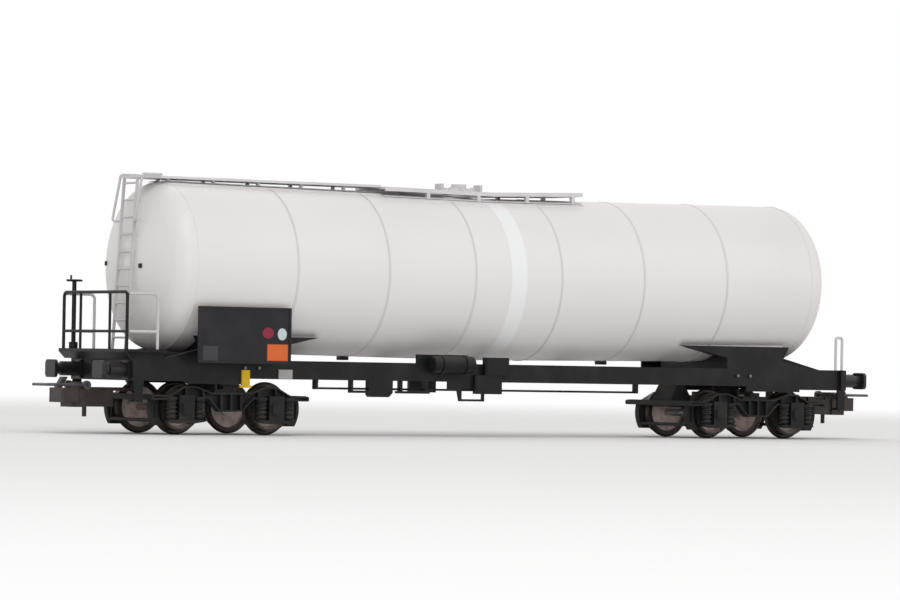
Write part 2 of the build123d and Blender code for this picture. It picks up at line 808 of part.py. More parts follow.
def coupler():
    """The +X coupling without its bail: arm, pocket, neck, head, hook and trip pin."""
    top = above_rail(COUPLER_ARM_TOP)
    low = top - COUPLER_ARM_THICKNESS
    bail_z = above_rail(BAIL_HEIGHT)
    head_low, head_top = above_rail(COUPLER_HEAD_BOTTOM), above_rail(COUPLER_HEAD_TOP)
    half = COUPLER_ARM_HALF
    pocket_end, pocket_half = COUPLER_POCKET_END, COUPLER_POCKET_HALF
    arm = block(COUPLER_PIVOT_X, pocket_end, -half, half, low, top)
    eye = rod((COUPLER_PIVOT_X, 0, low), (COUPLER_PIVOT_X, 0, top), half)
    pocket = block(
        COUPLER_POCKET_START,
        pocket_end,
        -pocket_half,
        pocket_half,
        above_rail(COUPLER_POCKET_BOTTOM),
        top,
    )
    notch = block(*COUPLER_NOTCH, -pocket_half, pocket_half, top - COUPLER_NOTCH_DEPTH, top)
    neck = block(
        pocket_end,
        COUPLER_NECK_END,
        -COUPLER_NECK_HALF,
        COUPLER_NECK_HALF,
        above_rail(COUPLER_NECK_BOTTOM),
        above_rail(COUPLER_NECK_TOP),
    )
    head_width, head_length = 2 * COUPLER_HEAD_HALF, COUPLER_HEAD_END - COUPLER_HEAD_START
    plan = RectangleRounded(head_length, head_width, COUPLER_HEAD_CORNER)
    head_middle = (COUPLER_HEAD_START + COUPLER_HEAD_END) / 2
    head = extrude(Plane.XY.offset(head_low) * Pos(head_middle, 0) * plan, head_top - head_low)
    hook_top = above_rail(COUPLER_HOOK_TOP)
    hook = prism_y(
        [
            (COUPLER_HEAD_END - COUPLER_HOOK_LENGTH, head_low),
            (COUPLER_HEAD_END, head_low),
            (COUPLER_HEAD_END, head_top),
            (COUPLER_HEAD_END - COUPLER_HOOK_LEAN, hook_top),
            (COUPLER_HEAD_END - COUPLER_HOOK_LEAN - COUPLER_HOOK_LENGTH, hook_top),
            (COUPLER_HEAD_END - COUPLER_HOOK_LENGTH, head_top),
        ],
        -COUPLER_HOOK_HALF,
        COUPLER_HOOK_HALF,
    )
    trip_low = (TRIP_X, 0, above_rail(TRIP_BOTTOM))
    trip = rod(trip_low, (TRIP_X, 0, above_rail(COUPLER_POCKET_BOTTOM)), TRIP_RADIUS)
    reach = BAIL_EYE + BAIL_WIRE
    ear = block(BAIL_PIVOT_X - reach, BAIL_PIVOT_X + reach, -half, half, head_low, bail_z + BAIL_EYE)
    pin = rod((BAIL_PIVOT_X, -BAIL_HALF, bail_z), (BAIL_PIVOT_X, BAIL_HALF, bail_z), BAIL_WIRE)
    bore = rod(
        (COUPLER_PIVOT_X, 0, low), (COUPLER_PIVOT_X, 0, top), COUPLER_PIN_RADIUS + COUPLER_PIVOT_GAP
    )
    return joined([arm, eye, pocket - notch, neck, head, hook, trip, ear, pin]) - bore


def bail():
    """The wire loop of the +X coupling, with an eye round its pin on each side."""
    z = above_rail(BAIL_HEIGHT)
    inner = BAIL_HALF - 2 * BAIL_WIRE
    wire = bent_wire(
        [
            (BAIL_PIVOT_X + BAIL_EYE, -inner, z),
            (BAIL_TIP, -inner, z),
            (BAIL_TIP, inner, z),
            (BAIL_PIVOT_X + BAIL_EYE, inner, z),
        ],
        BAIL_WIRE,
        BAIL_WIRE * 3,
    )
    eyes = [
        rod(
            (BAIL_PIVOT_X, y - BAIL_EYE_HALF, z),
            (BAIL_PIVOT_X, y + BAIL_EYE_HALF, z),
            BAIL_EYE + BAIL_WIRE,
        )
        for y in (-inner, inner)
    ]
    hole = rod(
        (BAIL_PIVOT_X, -BAIL_HALF, z),
        (BAIL_PIVOT_X, BAIL_HALF, z),
        BAIL_WIRE + COUPLER_PIVOT_GAP,
    )
    return joined([wire, *eyes]) - hole


# Buffers

def buffer(y):
    z = above_rail(BUFFER_HEIGHT)
    base_end = BEAM_FACE + BUFFER_BASE_THICKNESS
    half = BUFFER_BASE / 2
    base = block(BEAM_FACE, base_end, y - half, y + half, z - half, z + half)
    sleeve_end = BEAM_FACE + BUFFER_SLEEVE_LENGTH
    sleeve = rod((base_end, y, z), (sleeve_end, y, z), BUFFER_SLEEVE_RADIUS)
    head_back = BUFFER_FACE - BUFFER_HEAD_THICKNESS
    plunger = rod((sleeve_end, y, z), (head_back, y, z), BUFFER_PLUNGER_RADIUS)
    outline = RectangleRounded(BUFFER_HEAD_WIDTH, BUFFER_HEAD_HEIGHT, BUFFER_CORNER)
    head = extrude(Plane.YZ.offset(head_back) * Pos(y, z) * outline, BUFFER_HEAD_THICKNESS)
    return joined([base, sleeve, plunger, head])


# Platform end

def platform_deck():
    """The deck with a recessed tread, a sloping apron at its outer edge, skirts and a rib."""
    top = above_rail(DECK_TOP)
    low = top - DECK_THICKNESS
    seat = above_rail(SILL_TOP)
    deck = block(-DECK_OUTER, -DECK_INNER, -DECK_HALF, DECK_HALF, low, top)
    field = block(
        -DECK_OUTER + DECK_RIM,
        -DECK_INNER - DECK_RIM,
        -DECK_HALF + DECK_RIM,
        DECK_HALF - DECK_RIM,
        top - DECK_RECESS,
        top,
    )
    apron_low = above_rail(APRON_BOTTOM)
    apron = prism_y(
        [
            (-DECK_OUTER, low),
            (-APRON_FOOT, apron_low),
            (-APRON_FOOT + DECK_THICKNESS, apron_low),
            (-DECK_OUTER + DECK_THICKNESS, low),
        ],
        -DECK_HALF,
        DECK_HALF,
    )
    slope_share = (seat - apron_low) / (low - apron_low)
    slope_x = -APRON_FOOT - slope_share * (DECK_OUTER - APRON_FOOT)
    skirt = [(-DECK_OUTER, low), (slope_x, seat), (-DECK_INNER, seat), (-DECK_INNER, low)]
    edge = SILL_OUTER_Y
    ribs = [
        prism_y(skirt, y - DECK_RIB / 2, y + DECK_RIB / 2)
        for y in (-edge + DECK_RIB / 2, 0, edge - DECK_RIB / 2)
    ]
    return joined([deck - field, apron, *ribs])


def deck_floor():
    """The height of the recessed tread that railings, ladder and column stand on."""
    return above_rail(DECK_TOP) - DECK_RECESS


def end_railing():
    """The black railing across the platform's outer edge."""
    foot, top, mid = deck_floor(), above_rail(RAIL_TOP_HEIGHT), above_rail(RAIL_MID_HEIGHT)
    x = -RAIL_PLANE
    hoop = bent_wire(
        [(x, -RAIL_HALF, foot), (x, -RAIL_HALF, top), (x, RAIL_HALF, top), (x, RAIL_HALF, foot)],
        RAIL_RADIUS,
        RAIL_BEND,
    )
    bars = [rod((x, -RAIL_HALF, mid), (x, RAIL_HALF, mid), RAIL_POST_RADIUS)]
    for y in (-RAIL_POST_Y, RAIL_POST_Y):
        bars.append(rod((x, y, foot), (x, y, top), RAIL_POST_RADIUS))
    return joined([hoop, *bars])


def side_railing():
    """The light grey rail along the -Y edge of the platform."""
    foot, mid = deck_floor(), above_rail(RAIL_MID_HEIGHT)
    top = above_rail(RAIL_TOP_HEIGHT) - GREY_RAIL_DROP
    start = -RAIL_PLANE + RAIL_RADIUS + SEAT_GAP
    hoop = bent_wire(
        [(start, -RAIL_HALF, top), (-GREY_POST_X, -RAIL_HALF, top), (-GREY_POST_X, -RAIL_HALF, foot)],
        GREY_RAIL_RADIUS,
        RAIL_BEND,
    )
    bar = rod((start, -RAIL_HALF, mid), (-GREY_POST_X, -RAIL_HALF, mid), GREY_RAIL_RADIUS)
    return hoop + bar


def brake_column():
    x = -RAIL_PLANE - RAIL_RADIUS + COLUMN_RADIUS * 3
    foot, top = deck_floor(), above_rail(COLUMN_TOP)
    parts = [
        rod((x, COLUMN_Y, foot), (x, COLUMN_Y, foot + COLUMN_FOOT_HEIGHT), COLUMN_FOOT_RADIUS),
        rod((x, COLUMN_Y, foot), (x, COLUMN_Y, top), COLUMN_RADIUS),
    ]
    wheel_plane = Pos(x, COLUMN_Y, top)
    parts.append(wheel_plane * Torus(HANDWHEEL_RADIUS, HANDWHEEL_RIM))
    for angle in (0, 60, 120):
        spoke = Rot(0, 0, angle) * rod(
            (-HANDWHEEL_RADIUS, 0, 0), (HANDWHEEL_RADIUS, 0, 0), HANDWHEEL_RIM
        )
        parts.append(wheel_plane * spoke)
    knob_y = COLUMN_Y + HANDWHEEL_RADIUS
    parts.append(
        rod((x, knob_y, top), (x, knob_y, top + HANDWHEEL_KNOB_HEIGHT), HANDWHEEL_KNOB_RADIUS)
    )
    return joined(parts)


def ladder():
    """The ladder from the platform to the walkway, leaning in at the top."""
    foot = deck_floor()
    top = above_rail(WALK_TOP) - WALK_THICKNESS
    half = LADDER_STILE / 2
    stile = prism_y(
        [
            (-LADDER_FOOT_X - half, foot),
            (-LADDER_FOOT_X + half, foot),
            (-LADDER_TOP_X + half, top),
            (-LADDER_TOP_X - half, top),
        ],
        LADDER_HALF - half,
        LADDER_HALF + half,
    )
    parts = [mirrored_y(stile)]
    for rung in range(LADDER_RUNGS):
        share = (rung + 0.7) / LADDER_RUNGS
        x = -LADDER_FOOT_X + share * (LADDER_FOOT_X - LADDER_TOP_X)
        z = foot + share * (top - foot)
        parts.append(rod((x, -LADDER_HALF, z), (x, LADDER_HALF, z), LADDER_RUNG_RADIUS))
    return joined(parts)


def grab_rail():
    """The rail beside the ladder's top, on the -Y side."""
    top = above_rail(WALK_TOP)
    low = top - GRAB_DROP
    y = -GRAB_Y
    share = (low - deck_floor()) / (top - WALK_THICKNESS - deck_floor())
    ladder_x = -LADDER_FOOT_X + share * (LADDER_FOOT_X - LADDER_TOP_X)
    return bent_wire(
        [
            (-GRAB_INNER_X, y, top + GRAB_RADIUS),
            (-GRAB_OUTER_X, y, top + GRAB_RADIUS),
            (-GRAB_LOW_X, y, low),
            (ladder_x, -LADDER_HALF - LADDER_STILE / 2 - GRAB_RADIUS, low),
        ],
        GRAB_RADIUS,
        GRAB_BEND,
    )


# Walkways

def walk_rail(tank_space, start, end, y):
    """A strip that follows the tank's top under a walkway."""
    over = whole_tank(TANK_RADIUS + SEAM_HEIGHT + SEAT_GAP + WALK_RAIL_HEIGHT, with_seams=False)
    half = WALK_RAIL_WIDTH / 2
    strip = block(start, end, y - half, y + half, above_rail(TANK_AXIS), above_rail(WALK_TOP))
    return (strip & over) - tank_space


def walk_legs(tank_space, places, y, size, top):
    """Square legs from the tank up to a walkway, on both sides."""
    low = above_rail(TANK_AXIS)
    half = size / 2
    legs = [
        block(x - half, x + half, side - half, side + half, low, top)
        for x in places
        for side in (-y, y)
    ]
    return joined(legs) - tank_space


def narrow_walkway(tank_space):
    top = above_rail(WALK_TOP)
    low = top - WALK_THICKNESS
    plate = block(-WALK_START, -WALK_STEP, -WALK_HALF, WALK_HALF, low, top)
    field = block(
        -WALK_START + WALK_RIM,
        -WALK_STEP - WALK_RIM,
        -WALK_HALF + WALK_RIM,
        WALK_HALF - WALK_RIM,
        top - WALK_RECESS,
        top,
    )
    parts = [plate - field, walk_legs(tank_space, WALK_LEG_PLACES, WALK_LEG_Y, WALK_LEG, low)]
    for y in (-WALK_LEG_Y, WALK_LEG_Y):
        parts.append(walk_rail(tank_space, -WALK_RAIL_START, -WALK_STEP, y))
    return joined(parts)


def wide_walkway(tank_space):
    """The walkway round the manhole, dipping towards the kink of the tank."""
    top = above_rail(WIDE_WALK_TOP)
    profile = [
        (-WALK_STEP + SEAT_GAP, top),
        (0, top - WIDE_WALK_SAG),
        (WIDE_WALK_END, top + WIDE_WALK_RISE),
    ]
    under = [(x, z - WALK_THICKNESS) for x, z in reversed(profile)]
    plate = prism_y(profile + under, -WIDE_WALK_HALF, WIDE_WALK_HALF)
    reach = MANHOLE_FLANGE + MANHOLE_OPENING_GAP
    half = MANHOLE_FLANGE + SEAT_GAP
    low = top - WIDE_WALK_SAG - 2 * WALK_THICKNESS
    plate -= block(MANHOLE_X - reach, MANHOLE_X + reach, -half, half, low, top + WALK_THICKNESS)
    leg_y = WIDE_WALK_HALF - WIDE_LEG / 2
    leg_top = top - WIDE_WALK_SAG - WALK_THICKNESS / 2
    parts = [plate, walk_legs(tank_space, WIDE_LEG_PLACES, leg_y, WIDE_LEG, leg_top)]
    for y in (-leg_y, leg_y):
        parts.append(walk_rail(tank_space, -WALK_STEP + SEAT_GAP, WIDE_WALK_END, y))
    return joined(parts)


def manhole(tank_space):
    """The neck, flange, bolted lid with its boss, and the hinge and clamp lugs beside it."""
    top = above_rail(MANHOLE_TOP)
    flange_low = top - MANHOLE_FLANGE_THICKNESS
    neck = rod((MANHOLE_X, 0, above_rail(TANK_AXIS)), (MANHOLE_X, 0, flange_low), MANHOLE_RADIUS)
    flange = rod((MANHOLE_X, 0, flange_low), (MANHOLE_X, 0, top), MANHOLE_FLANGE)
    cap_radius = (MANHOLE_FLANGE**2 + MANHOLE_LID_RISE**2) / (2 * MANHOLE_LID_RISE)
    cap = Pos(MANHOLE_X, 0, top + MANHOLE_LID_RISE - cap_radius) * Sphere(cap_radius)
    cap &= rod((MANHOLE_X, 0, top), (MANHOLE_X, 0, top + cap_radius), MANHOLE_RADIUS)
    lug_top = above_rail(MANHOLE_BOSS_TOP)
    boss = rod((MANHOLE_X, 0, top), (MANHOLE_X, 0, lug_top), MANHOLE_BOSS_RADIUS)
    lugs = []
    for side in (-1, 1):
        outer = MANHOLE_X + side * MANHOLE_HINGE_REACH
        inner = outer - side * MANHOLE_HINGE_THICKNESS
        half = MANHOLE_HINGE_HALF
        lugs.append(block(inner, outer, -half, half, flange_low, lug_top))
        arm_top = flange_low + MANHOLE_HINGE_ARM
        lugs.append(block(MANHOLE_X, outer, -half, half, flange_low, arm_top))
    bolts = []
    for number in range(MANHOLE_BOLTS):
        angle = 2 * math.pi * (number + 0.5) / MANHOLE_BOLTS
        x = MANHOLE_X + MANHOLE_RADIUS * math.cos(angle)
        y = MANHOLE_RADIUS * math.sin(angle)
        bolts.append(rod((x, y, top), (x, y, top + MANHOLE_LID_RISE), MANHOLE_BOLT_RADIUS))
    return joined([neck, flange, cap, boss, *lugs, *bolts]) - tank_space


# Side panels and brake gear

def side_panel():
    """The panel on the -Y side, with arms back to the saddle."""
    low, high = above_rail(PANEL_BOTTOM), above_rail(PANEL_TOP)
    back = PANEL_FACE_Y - PANEL_THICKNESS
    plate = block(-PANEL_OUTER_X, -PANEL_INNER_X, -PANEL_FACE_Y, -back, low, high)
    field = block(
        -PANEL_OUTER_X + PANEL_RIM,
        -PANEL_INNER_X - PANEL_RIM,
        -PANEL_FACE_Y,
        -PANEL_FACE_Y + PANEL_RIM_DEPTH,
        low + PANEL_RIM,
        high - PANEL_RIM,
    )
    width = PANEL_OUTER_X - PANEL_INNER_X
    arm_low = above_rail(SILL_TOP)
    arms = [
        block(
            -PANEL_OUTER_X + share * width - PANEL_ARM / 2,
            -PANEL_OUTER_X + share * width + PANEL_ARM / 2,
            -back,
            -SADDLE_HALF,
            arm_low,
            arm_low + PANEL_ARM,
        )
        for share in PANEL_ARM_SHARES
    ]
    return joined([plate - field, *arms])


def air_reservoir():
    """The air reservoir with rounded ends, strapped to a plate that stands on the sill."""
    z = above_rail(RESERVOIR_HEIGHT)
    radius, crown = RESERVOIR_RADIUS, RESERVOIR_CROWN
    y = -(SILL_OUTER_Y + RESERVOIR_SILL_GAP + RESERVOIR_STRAP + radius)
    length = RESERVOIR_END - RESERVOIR_START
    tank = rod((RESERVOIR_START, y, z), (RESERVOIR_END, y, z), radius)
    tank = fillet(tank.edges().filter_by(GeomType.CIRCLE), crown)
    plate_y = -SILL_OUTER_Y
    seat = above_rail(SILL_TOP)
    plate = block(
        RESERVOIR_PLATE_START,
        RESERVOIR_END,
        plate_y,
        plate_y + RESERVOIR_PLATE,
        seat,
        above_rail(RESERVOIR_PLATE_TOP),
    )
    parts = [tank, plate]
    for share in RESERVOIR_STRAP_SHARES:
        x = RESERVOIR_START + share * length
        half = RESERVOIR_STRAP_WIDTH / 2
        parts.append(rod((x - half, y, z), (x + half, y, z), radius + RESERVOIR_STRAP))
        back = plate_y + RESERVOIR_PLATE
        parts.append(block(x - half, x + half, y, back, seat, seat + RESERVOIR_PLATE))
    return joined(parts)


def brake_rod():
    """The long rod inside the near sill, on two hangers under the sill."""
    z = above_rail(ROD_HEIGHT)
    seat = above_rail(SILL_BOTTOM)
    half = ROD_HANGER / 2
    inner = SILL_OUTER_Y - SILL_WIDTH
    parts = [rod((ROD_START, ROD_Y, z), (ROD_END, ROD_Y, z), ROD_RADIUS)]
    for x in (ROD_START, ROD_END):
        low = z - ROD_RADIUS
        parts.append(
            block(x - half, x + half, -inner - ROD_HANGER_SEAT, ROD_Y + half, low, seat)
        )
    return joined(parts)


def valve_block():
    """The valve under the near sill, with the tray beside it."""
    seat = above_rail(SILL_BOTTOM)
    near, back = -SILL_OUTER_Y, -SILL_OUTER_Y + VALVE_DEPTH
    low, taper = above_rail(VALVE_BOTTOM), VALVE_TAPER
    valve = prism_y(
        [
            (VALVE_START, seat),
            (VALVE_START, low + taper / 2),
            (VALVE_START + taper / 2, low),
            (VALVE_END - taper, low),
            (VALVE_END, low + taper),
            (VALVE_END, seat),
        ],
        near,
        back,
    )
    tray_low = above_rail(TRAY_BOTTOM)
    tray_top = tray_low + TRAY_THICKNESS
    parts = [valve, block(TRAY_START, VALVE_START, near, back, tray_low, tray_top)]
    parts.append(block(TRAY_START, TRAY_START + CRADLE_POST, near, back, tray_low, seat))
    return joined(parts)


def valve_cradle():
    """The open bracket beside the valve: a bar on two posts under the near sill."""
    seat = above_rail(SILL_BOTTOM)
    near, back = -SILL_OUTER_Y, -SILL_OUTER_Y + VALVE_DEPTH
    low = above_rail(TRAY_BOTTOM)
    parts = [block(CRADLE_START, CRADLE_END, near, back, low, low + TRAY_THICKNESS)]
    for share in CRADLE_POST_SHARES:
        x = CRADLE_START + share * (CRADLE_END - CRADLE_START)
        half = CRADLE_POST / 2
        parts.append(block(x - half, x + half, near, back, low, seat))
    return joined(parts)


def outlet_box():
    """The outlet valve box on the near side, in two steps, against the sill."""
    back = -SILL_OUTER_Y
    steps = (
        (OUTLET_UPPER, OUTLET_SPLIT, OUTLET_TOP, OUTLET_DEPTH),
        (OUTLET_LOWER, OUTLET_BOTTOM, OUTLET_SPLIT, OUTLET_DEPTH - OUTLET_STEP),
    )
    shapes = []
    for (start, end), low, high, depth in steps:
        box = block(start, end, back - depth, back, above_rail(low), above_rail(high))
        front = box.edges().filter_by(Axis.Z).group_by(Axis.Y)[0]
        shapes.append(chamfer(front, OUTLET_CORNER))
    return joined(shapes)


def step_stirrup():
    """The stirrup step beside the near outlet, hung under the sill."""
    seat = above_rail(SILL_BOTTOM)
    near, back = -SILL_OUTER_Y, -SILL_OUTER_Y + SILL_WIDTH / 2
    low = above_rail(STIRRUP_BOTTOM)
    thick = STIRRUP_THICKNESS
    root_low = seat - STIRRUP_ROOT_DEPTH
    root = prism_y(
        [
            (STIRRUP_ROOT, seat),
            (STIRRUP_ROOT, root_low),
            (STIRRUP_START, root_low - thick),
            (STIRRUP_START + thick, low),
            (STIRRUP_START + 2 * thick, low),
            (STIRRUP_START + 2 * thick, root_low),
            (STIRRUP_ROOT_END, root_low),
            (STIRRUP_ROOT_END, seat),
        ],
        near,
        back,
    )
    tread = block(STIRRUP_START + thick, STIRRUP_END, near, back, low, low + thick)
    leg = block(STIRRUP_END - thick, STIRRUP_END, near, back, low, seat)
    return joined([root, tread, leg])


def changeover_lever():
    """The small lever on the near sill at the platform end."""
    low, high = above_rail(LEVER_BOTTOM), above_rail(LEVER_TOP)
    near, back = -SILL_OUTER_Y - LEVER_DEPTH, -SILL_OUTER_Y
    half = LEVER_WIDTH / 2
    bar = block(-LEVER_X - half, -LEVER_X + half, near, back, low, high)
    foot_half = LEVER_FOOT_HALF
    foot_top = low + LEVER_FOOT_HEIGHT
    return bar + block(-LEVER_X - foot_half, -LEVER_X + foot_half, near, back, low, foot_top)


def lever_plate():
    """The blank plate beside the lever."""
    return block(
        -LEVER_PLATE_END,
        -LEVER_PLATE_START,
        -SILL_OUTER_Y - LEVER_PLATE_THICKNESS,
        -SILL_OUTER_Y,
        above_rail(LEVER_PLATE_BOTTOM),
        above_rail(LEVER_PLATE_TOP),
    )


# Ends

def corner_steps():
    """The two hung steps under the corners of the +X end."""
    low, seat = above_rail(STEP_BOTTOM), above_rail(BEAM_BOTTOM)
    outer = -STEP_OUTER_Y
    strap = block(STEP_START, STEP_END, outer, outer + STEP_THICKNESS, low, seat)
    tread = block(STEP_START, STEP_END, outer, outer + STEP_TREAD, low, low + STEP_THICKNESS)
    return mirrored_y(strap + tread)


def end_handles():
    """The two inverted-U handles on the corners of the +X end."""
    foot, top = above_rail(SILL_TOP), above_rail(HANDLE_TOP)
    y = -HANDLE_Y
    points = [
        (HANDLE_START, y, foot),
        (HANDLE_START, y, top),
        (HANDLE_END, y, top),
        (HANDLE_END, y, foot),
    ]
    return mirrored_y(bent_wire(points, HANDLE_RADIUS, HANDLE_BEND))


def end_brackets(tank_space):
    """Two small lugs on the dished end above the platform."""
    half = END_BRACKET_SIZE / 2
    grown = TANK_RADIUS + SEAM_HEIGHT + SEAT_GAP + END_BRACKET_DEPTH
    reach = whole_tank(grown, with_seams=False)
    lugs = []
    for y, height in END_BRACKETS:
        z = above_rail(height)
        bar = block(-DECK_OUTER, -TANK_STRAIGHT, y - half, y + half, z - half, z + half)
        lugs.append(bar & reach)
    return joined(lugs) - tank_space


def save(name, shape):
    solids = shape.solids()
    whole = Compound(children=solids) if len(solids) > 1 else solids[0]
    export_step(whole, f"parts/{name}.step")


def main():
    os.makedirs("parts", exist_ok=True)
    tank_space = whole_tank(TANK_RADIUS + SEAM_HEIGHT + SEAT_GAP, with_seams=False)
    save("tank_shell", whole_tank(TANK_RADIUS))
    save("tank_end_brackets", end_brackets(tank_space))
    save("cross_members", cross_members())
    frame, wheels, bar = bogie_frame(), mirrored_y(wheel()), axle()
    saddle_piece, end_piece = saddle(tank_space), frame_end()
    coupler_piece, bail_piece, steps = coupler(), bail(), corner_steps()
    for which, sign in (("platform", -1), ("plain", 1)):
        end = f"{which}_end"
        faced = {
            f"saddle_{end}": saddle_piece,
            f"frame_end_{which}": end_piece,
            f"corner_steps_{end}": steps,
            f"coupler_{end}": coupler_piece,
            f"bail_{end}": bail_piece,
            f"buffer_{end}_near": buffer(-BUFFER_Y),
            f"buffer_{end}_far": buffer(BUFFER_Y),
        }
        for name, shape in faced.items():
            save(name, shape if sign > 0 else mirror(shape, Plane.YZ))
        save(f"bogie_frame_{end}", Pos(sign * PIVOT_X, 0, 0) * frame)
        for number, offset in ((1, -WHEELBASE / 2), (2, WHEELBASE / 2)):
            place = Pos(sign * PIVOT_X + offset, 0, AXLE_HEIGHT)
            label = number if sign < 0 else number + 2
            save(f"wheels_{label}", place * wheels)
            save(f"axle_{label}", place * bar)
    save("end_handles", end_handles())
    save("platform_deck", platform_deck())
    save("platform_railing", end_railing())
    save("brake_column", brake_column())
    save("ladder", ladder())
    save("ladder_grab_rails", mirrored_y(grab_rail()))
    save("walkway_narrow", narrow_walkway(tank_space))
    save("walkway_wide", wide_walkway(tank_space))
    save("manhole", manhole(tank_space))
    mirrored = {
        "sill": side_sill(),
        "side_rail": side_railing(),
        "outlet_box": outlet_box(),
    }
    for name, shape in mirrored.items():
        save(f"{name}_near", shape)
        save(f"{name}_far", mirror(shape, Plane.XZ))
    turned = {
        "panel": side_panel(),
        "changeover_lever": changeover_lever(),
        "lever_plate": lever_plate(),
    }
    for name, shape in turned.items():
        save(f"{name}_near", shape)
        save(f"{name}_far", Rot(0, 0, 180) * shape)
    save("air_reservoir", air_reservoir())
    save("brake_rod", brake_rod())
    save("valve_block", valve_block())
    save("valve_cradle", valve_cradle())
    save("step_stirrup", step_stirrup())


main()
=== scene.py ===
"""Finishes, small fittings, light and camera of the model railway tank car.

Sizes in this file are millimetres of the model unless a name says otherwise. Meshes are made
in millimetres and turned into metres when a piece is finished.
"""
import logging
import math
from dataclasses import dataclass
from enum import Enum

import bmesh
import bpy
from mathutils import Matrix, Vector


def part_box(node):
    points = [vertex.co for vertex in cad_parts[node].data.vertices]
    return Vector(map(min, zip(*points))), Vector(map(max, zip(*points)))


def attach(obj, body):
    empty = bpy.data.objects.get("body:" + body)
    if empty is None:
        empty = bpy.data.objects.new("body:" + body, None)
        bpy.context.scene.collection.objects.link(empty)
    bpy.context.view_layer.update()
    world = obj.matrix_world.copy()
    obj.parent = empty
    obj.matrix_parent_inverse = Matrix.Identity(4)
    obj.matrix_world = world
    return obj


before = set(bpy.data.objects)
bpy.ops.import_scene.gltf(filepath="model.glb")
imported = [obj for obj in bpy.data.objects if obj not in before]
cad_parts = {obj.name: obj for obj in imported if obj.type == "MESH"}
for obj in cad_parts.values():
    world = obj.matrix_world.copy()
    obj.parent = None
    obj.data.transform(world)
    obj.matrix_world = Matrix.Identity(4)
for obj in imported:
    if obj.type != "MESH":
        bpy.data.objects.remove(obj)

LOG = logging.getLogger("tank_car")
MM = 0.001
TANK_RADIUS = 17.05
TANK_KINK = math.radians(0.6)
SMOOTH_LIMIT = math.radians(40)
HEAD_SUNK_SHARE = 0.2
HEAD_TAPER = 0.92
WIRE_SIDES = 6
STEEP = 0.95
WHITE = (1, 1, 1, 1)
Colour = tuple[float, float, float]
Point = tuple[float, float, float]
Span = tuple[float, float]


class Way(Enum):
    """An axis of the car that a bar's frame can be guided by."""

    ALONG = Vector((1, 0, 0))
    UP = Vector((0, 0, 1))


class End(Enum):
    """An end of the car, with its sign along X."""

    PLATFORM = -1
    PLAIN = 1

    @property
    def label(self) -> str:
        """The words that node and body names use for this end."""
        return f"{self.name.lower()}_end"


def linear(red: int, green: int, blue: int) -> Colour:
    """Turns an sRGB colour of 0 to 255 into the linear values that shaders take.

    Args:
        red: Red, 0 to 255.
        green: Green, 0 to 255.
        blue: Blue, 0 to 255.

    Returns:
        The three linear values.
    """
    shares = (red / 255, green / 255, blue / 255)
    return tuple(s / 12.92 if s <= 0.04045 else ((s + 0.055) / 1.055) ** 2.4 for s in shares)


def box_mm(node: str) -> tuple[Vector, Vector]:
    """The lowest and highest corner of a CAD node at rest, in millimetres.

    Args:
        node: The node's name.

    Returns:
        Both corners.
    """
    low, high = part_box(node)
    return low / MM, high / MM


class Field:
    """A number that varies over a surface, as a socket that Python operators combine."""

    def __init__(self, tree: "Tree", socket: bpy.types.NodeSocket) -> None:
        """Wraps a socket of a node tree."""
        self.tree = tree
        self.socket = socket

    def apply(self, operation: str, *others: "Field | float") -> "Field":
        """Adds one Math node.

        Args:
            operation: The Math node's operation.
            *others: The second and third inputs.

        Returns:
            The node's result.
        """
        inputs = dict(enumerate((self, *others)))
        node = self.tree.node("ShaderNodeMath", {"operation": operation}, inputs)
        return Field(self.tree, node.outputs[0])

    def __add__(self, other: "Field | float") -> "Field":
        """The sum."""
        return self.apply("ADD", other)

    def __sub__(self, other: "Field | float") -> "Field":
        """The difference."""
        return self.apply("SUBTRACT", other)

    def __rsub__(self, other: float) -> "Field":
        """A number less this field."""
        return (self * -1) + other

    def __mul__(self, other: "Field | float") -> "Field":
        """The product."""
        return self.apply("MULTIPLY", other)

    def __truediv__(self, other: "Field | float") -> "Field":
        """The quotient."""
        return self.apply("DIVIDE", other)

    def __pow__(self, other: "Field | float") -> "Field":
        """The power."""
        return self.apply("POWER", other)

    def __gt__(self, other: "Field | float") -> "Field":
        """1 where this is more than the other."""
        return self.apply("GREATER_THAN", other)

    def __abs__(self) -> "Field":
        """The size without the sign."""
        return self.apply("ABSOLUTE")

    __radd__ = __add__
    __rmul__ = __mul__

    def step(self, low: float, high: float) -> "Field":
        """A smooth rise from 0 at low to 1 at high, or a fall where low is the larger.

        Args:
            low: Where the result is 0.
            high: Where the result is 1.

        Returns:
            The smoothed share.
        """
        ends = (low, high, 0.0, 1.0) if low < high else (high, low, 1.0, 0.0)
        inputs = dict(enumerate((self, *ends)))
        settings = {"interpolation_type": "SMOOTHSTEP"}
        node = self.tree.node("ShaderNodeMapRange", settings, inputs)
        return Field(self.tree, node.outputs[0])


@dataclass(frozen=True)
class Noise:
    """The width of one blotch of noise, its finer layers, and its stretch along each axis."""

    size: float
    detail: float = 3.0
    stretch: Point = (1, 1, 1)


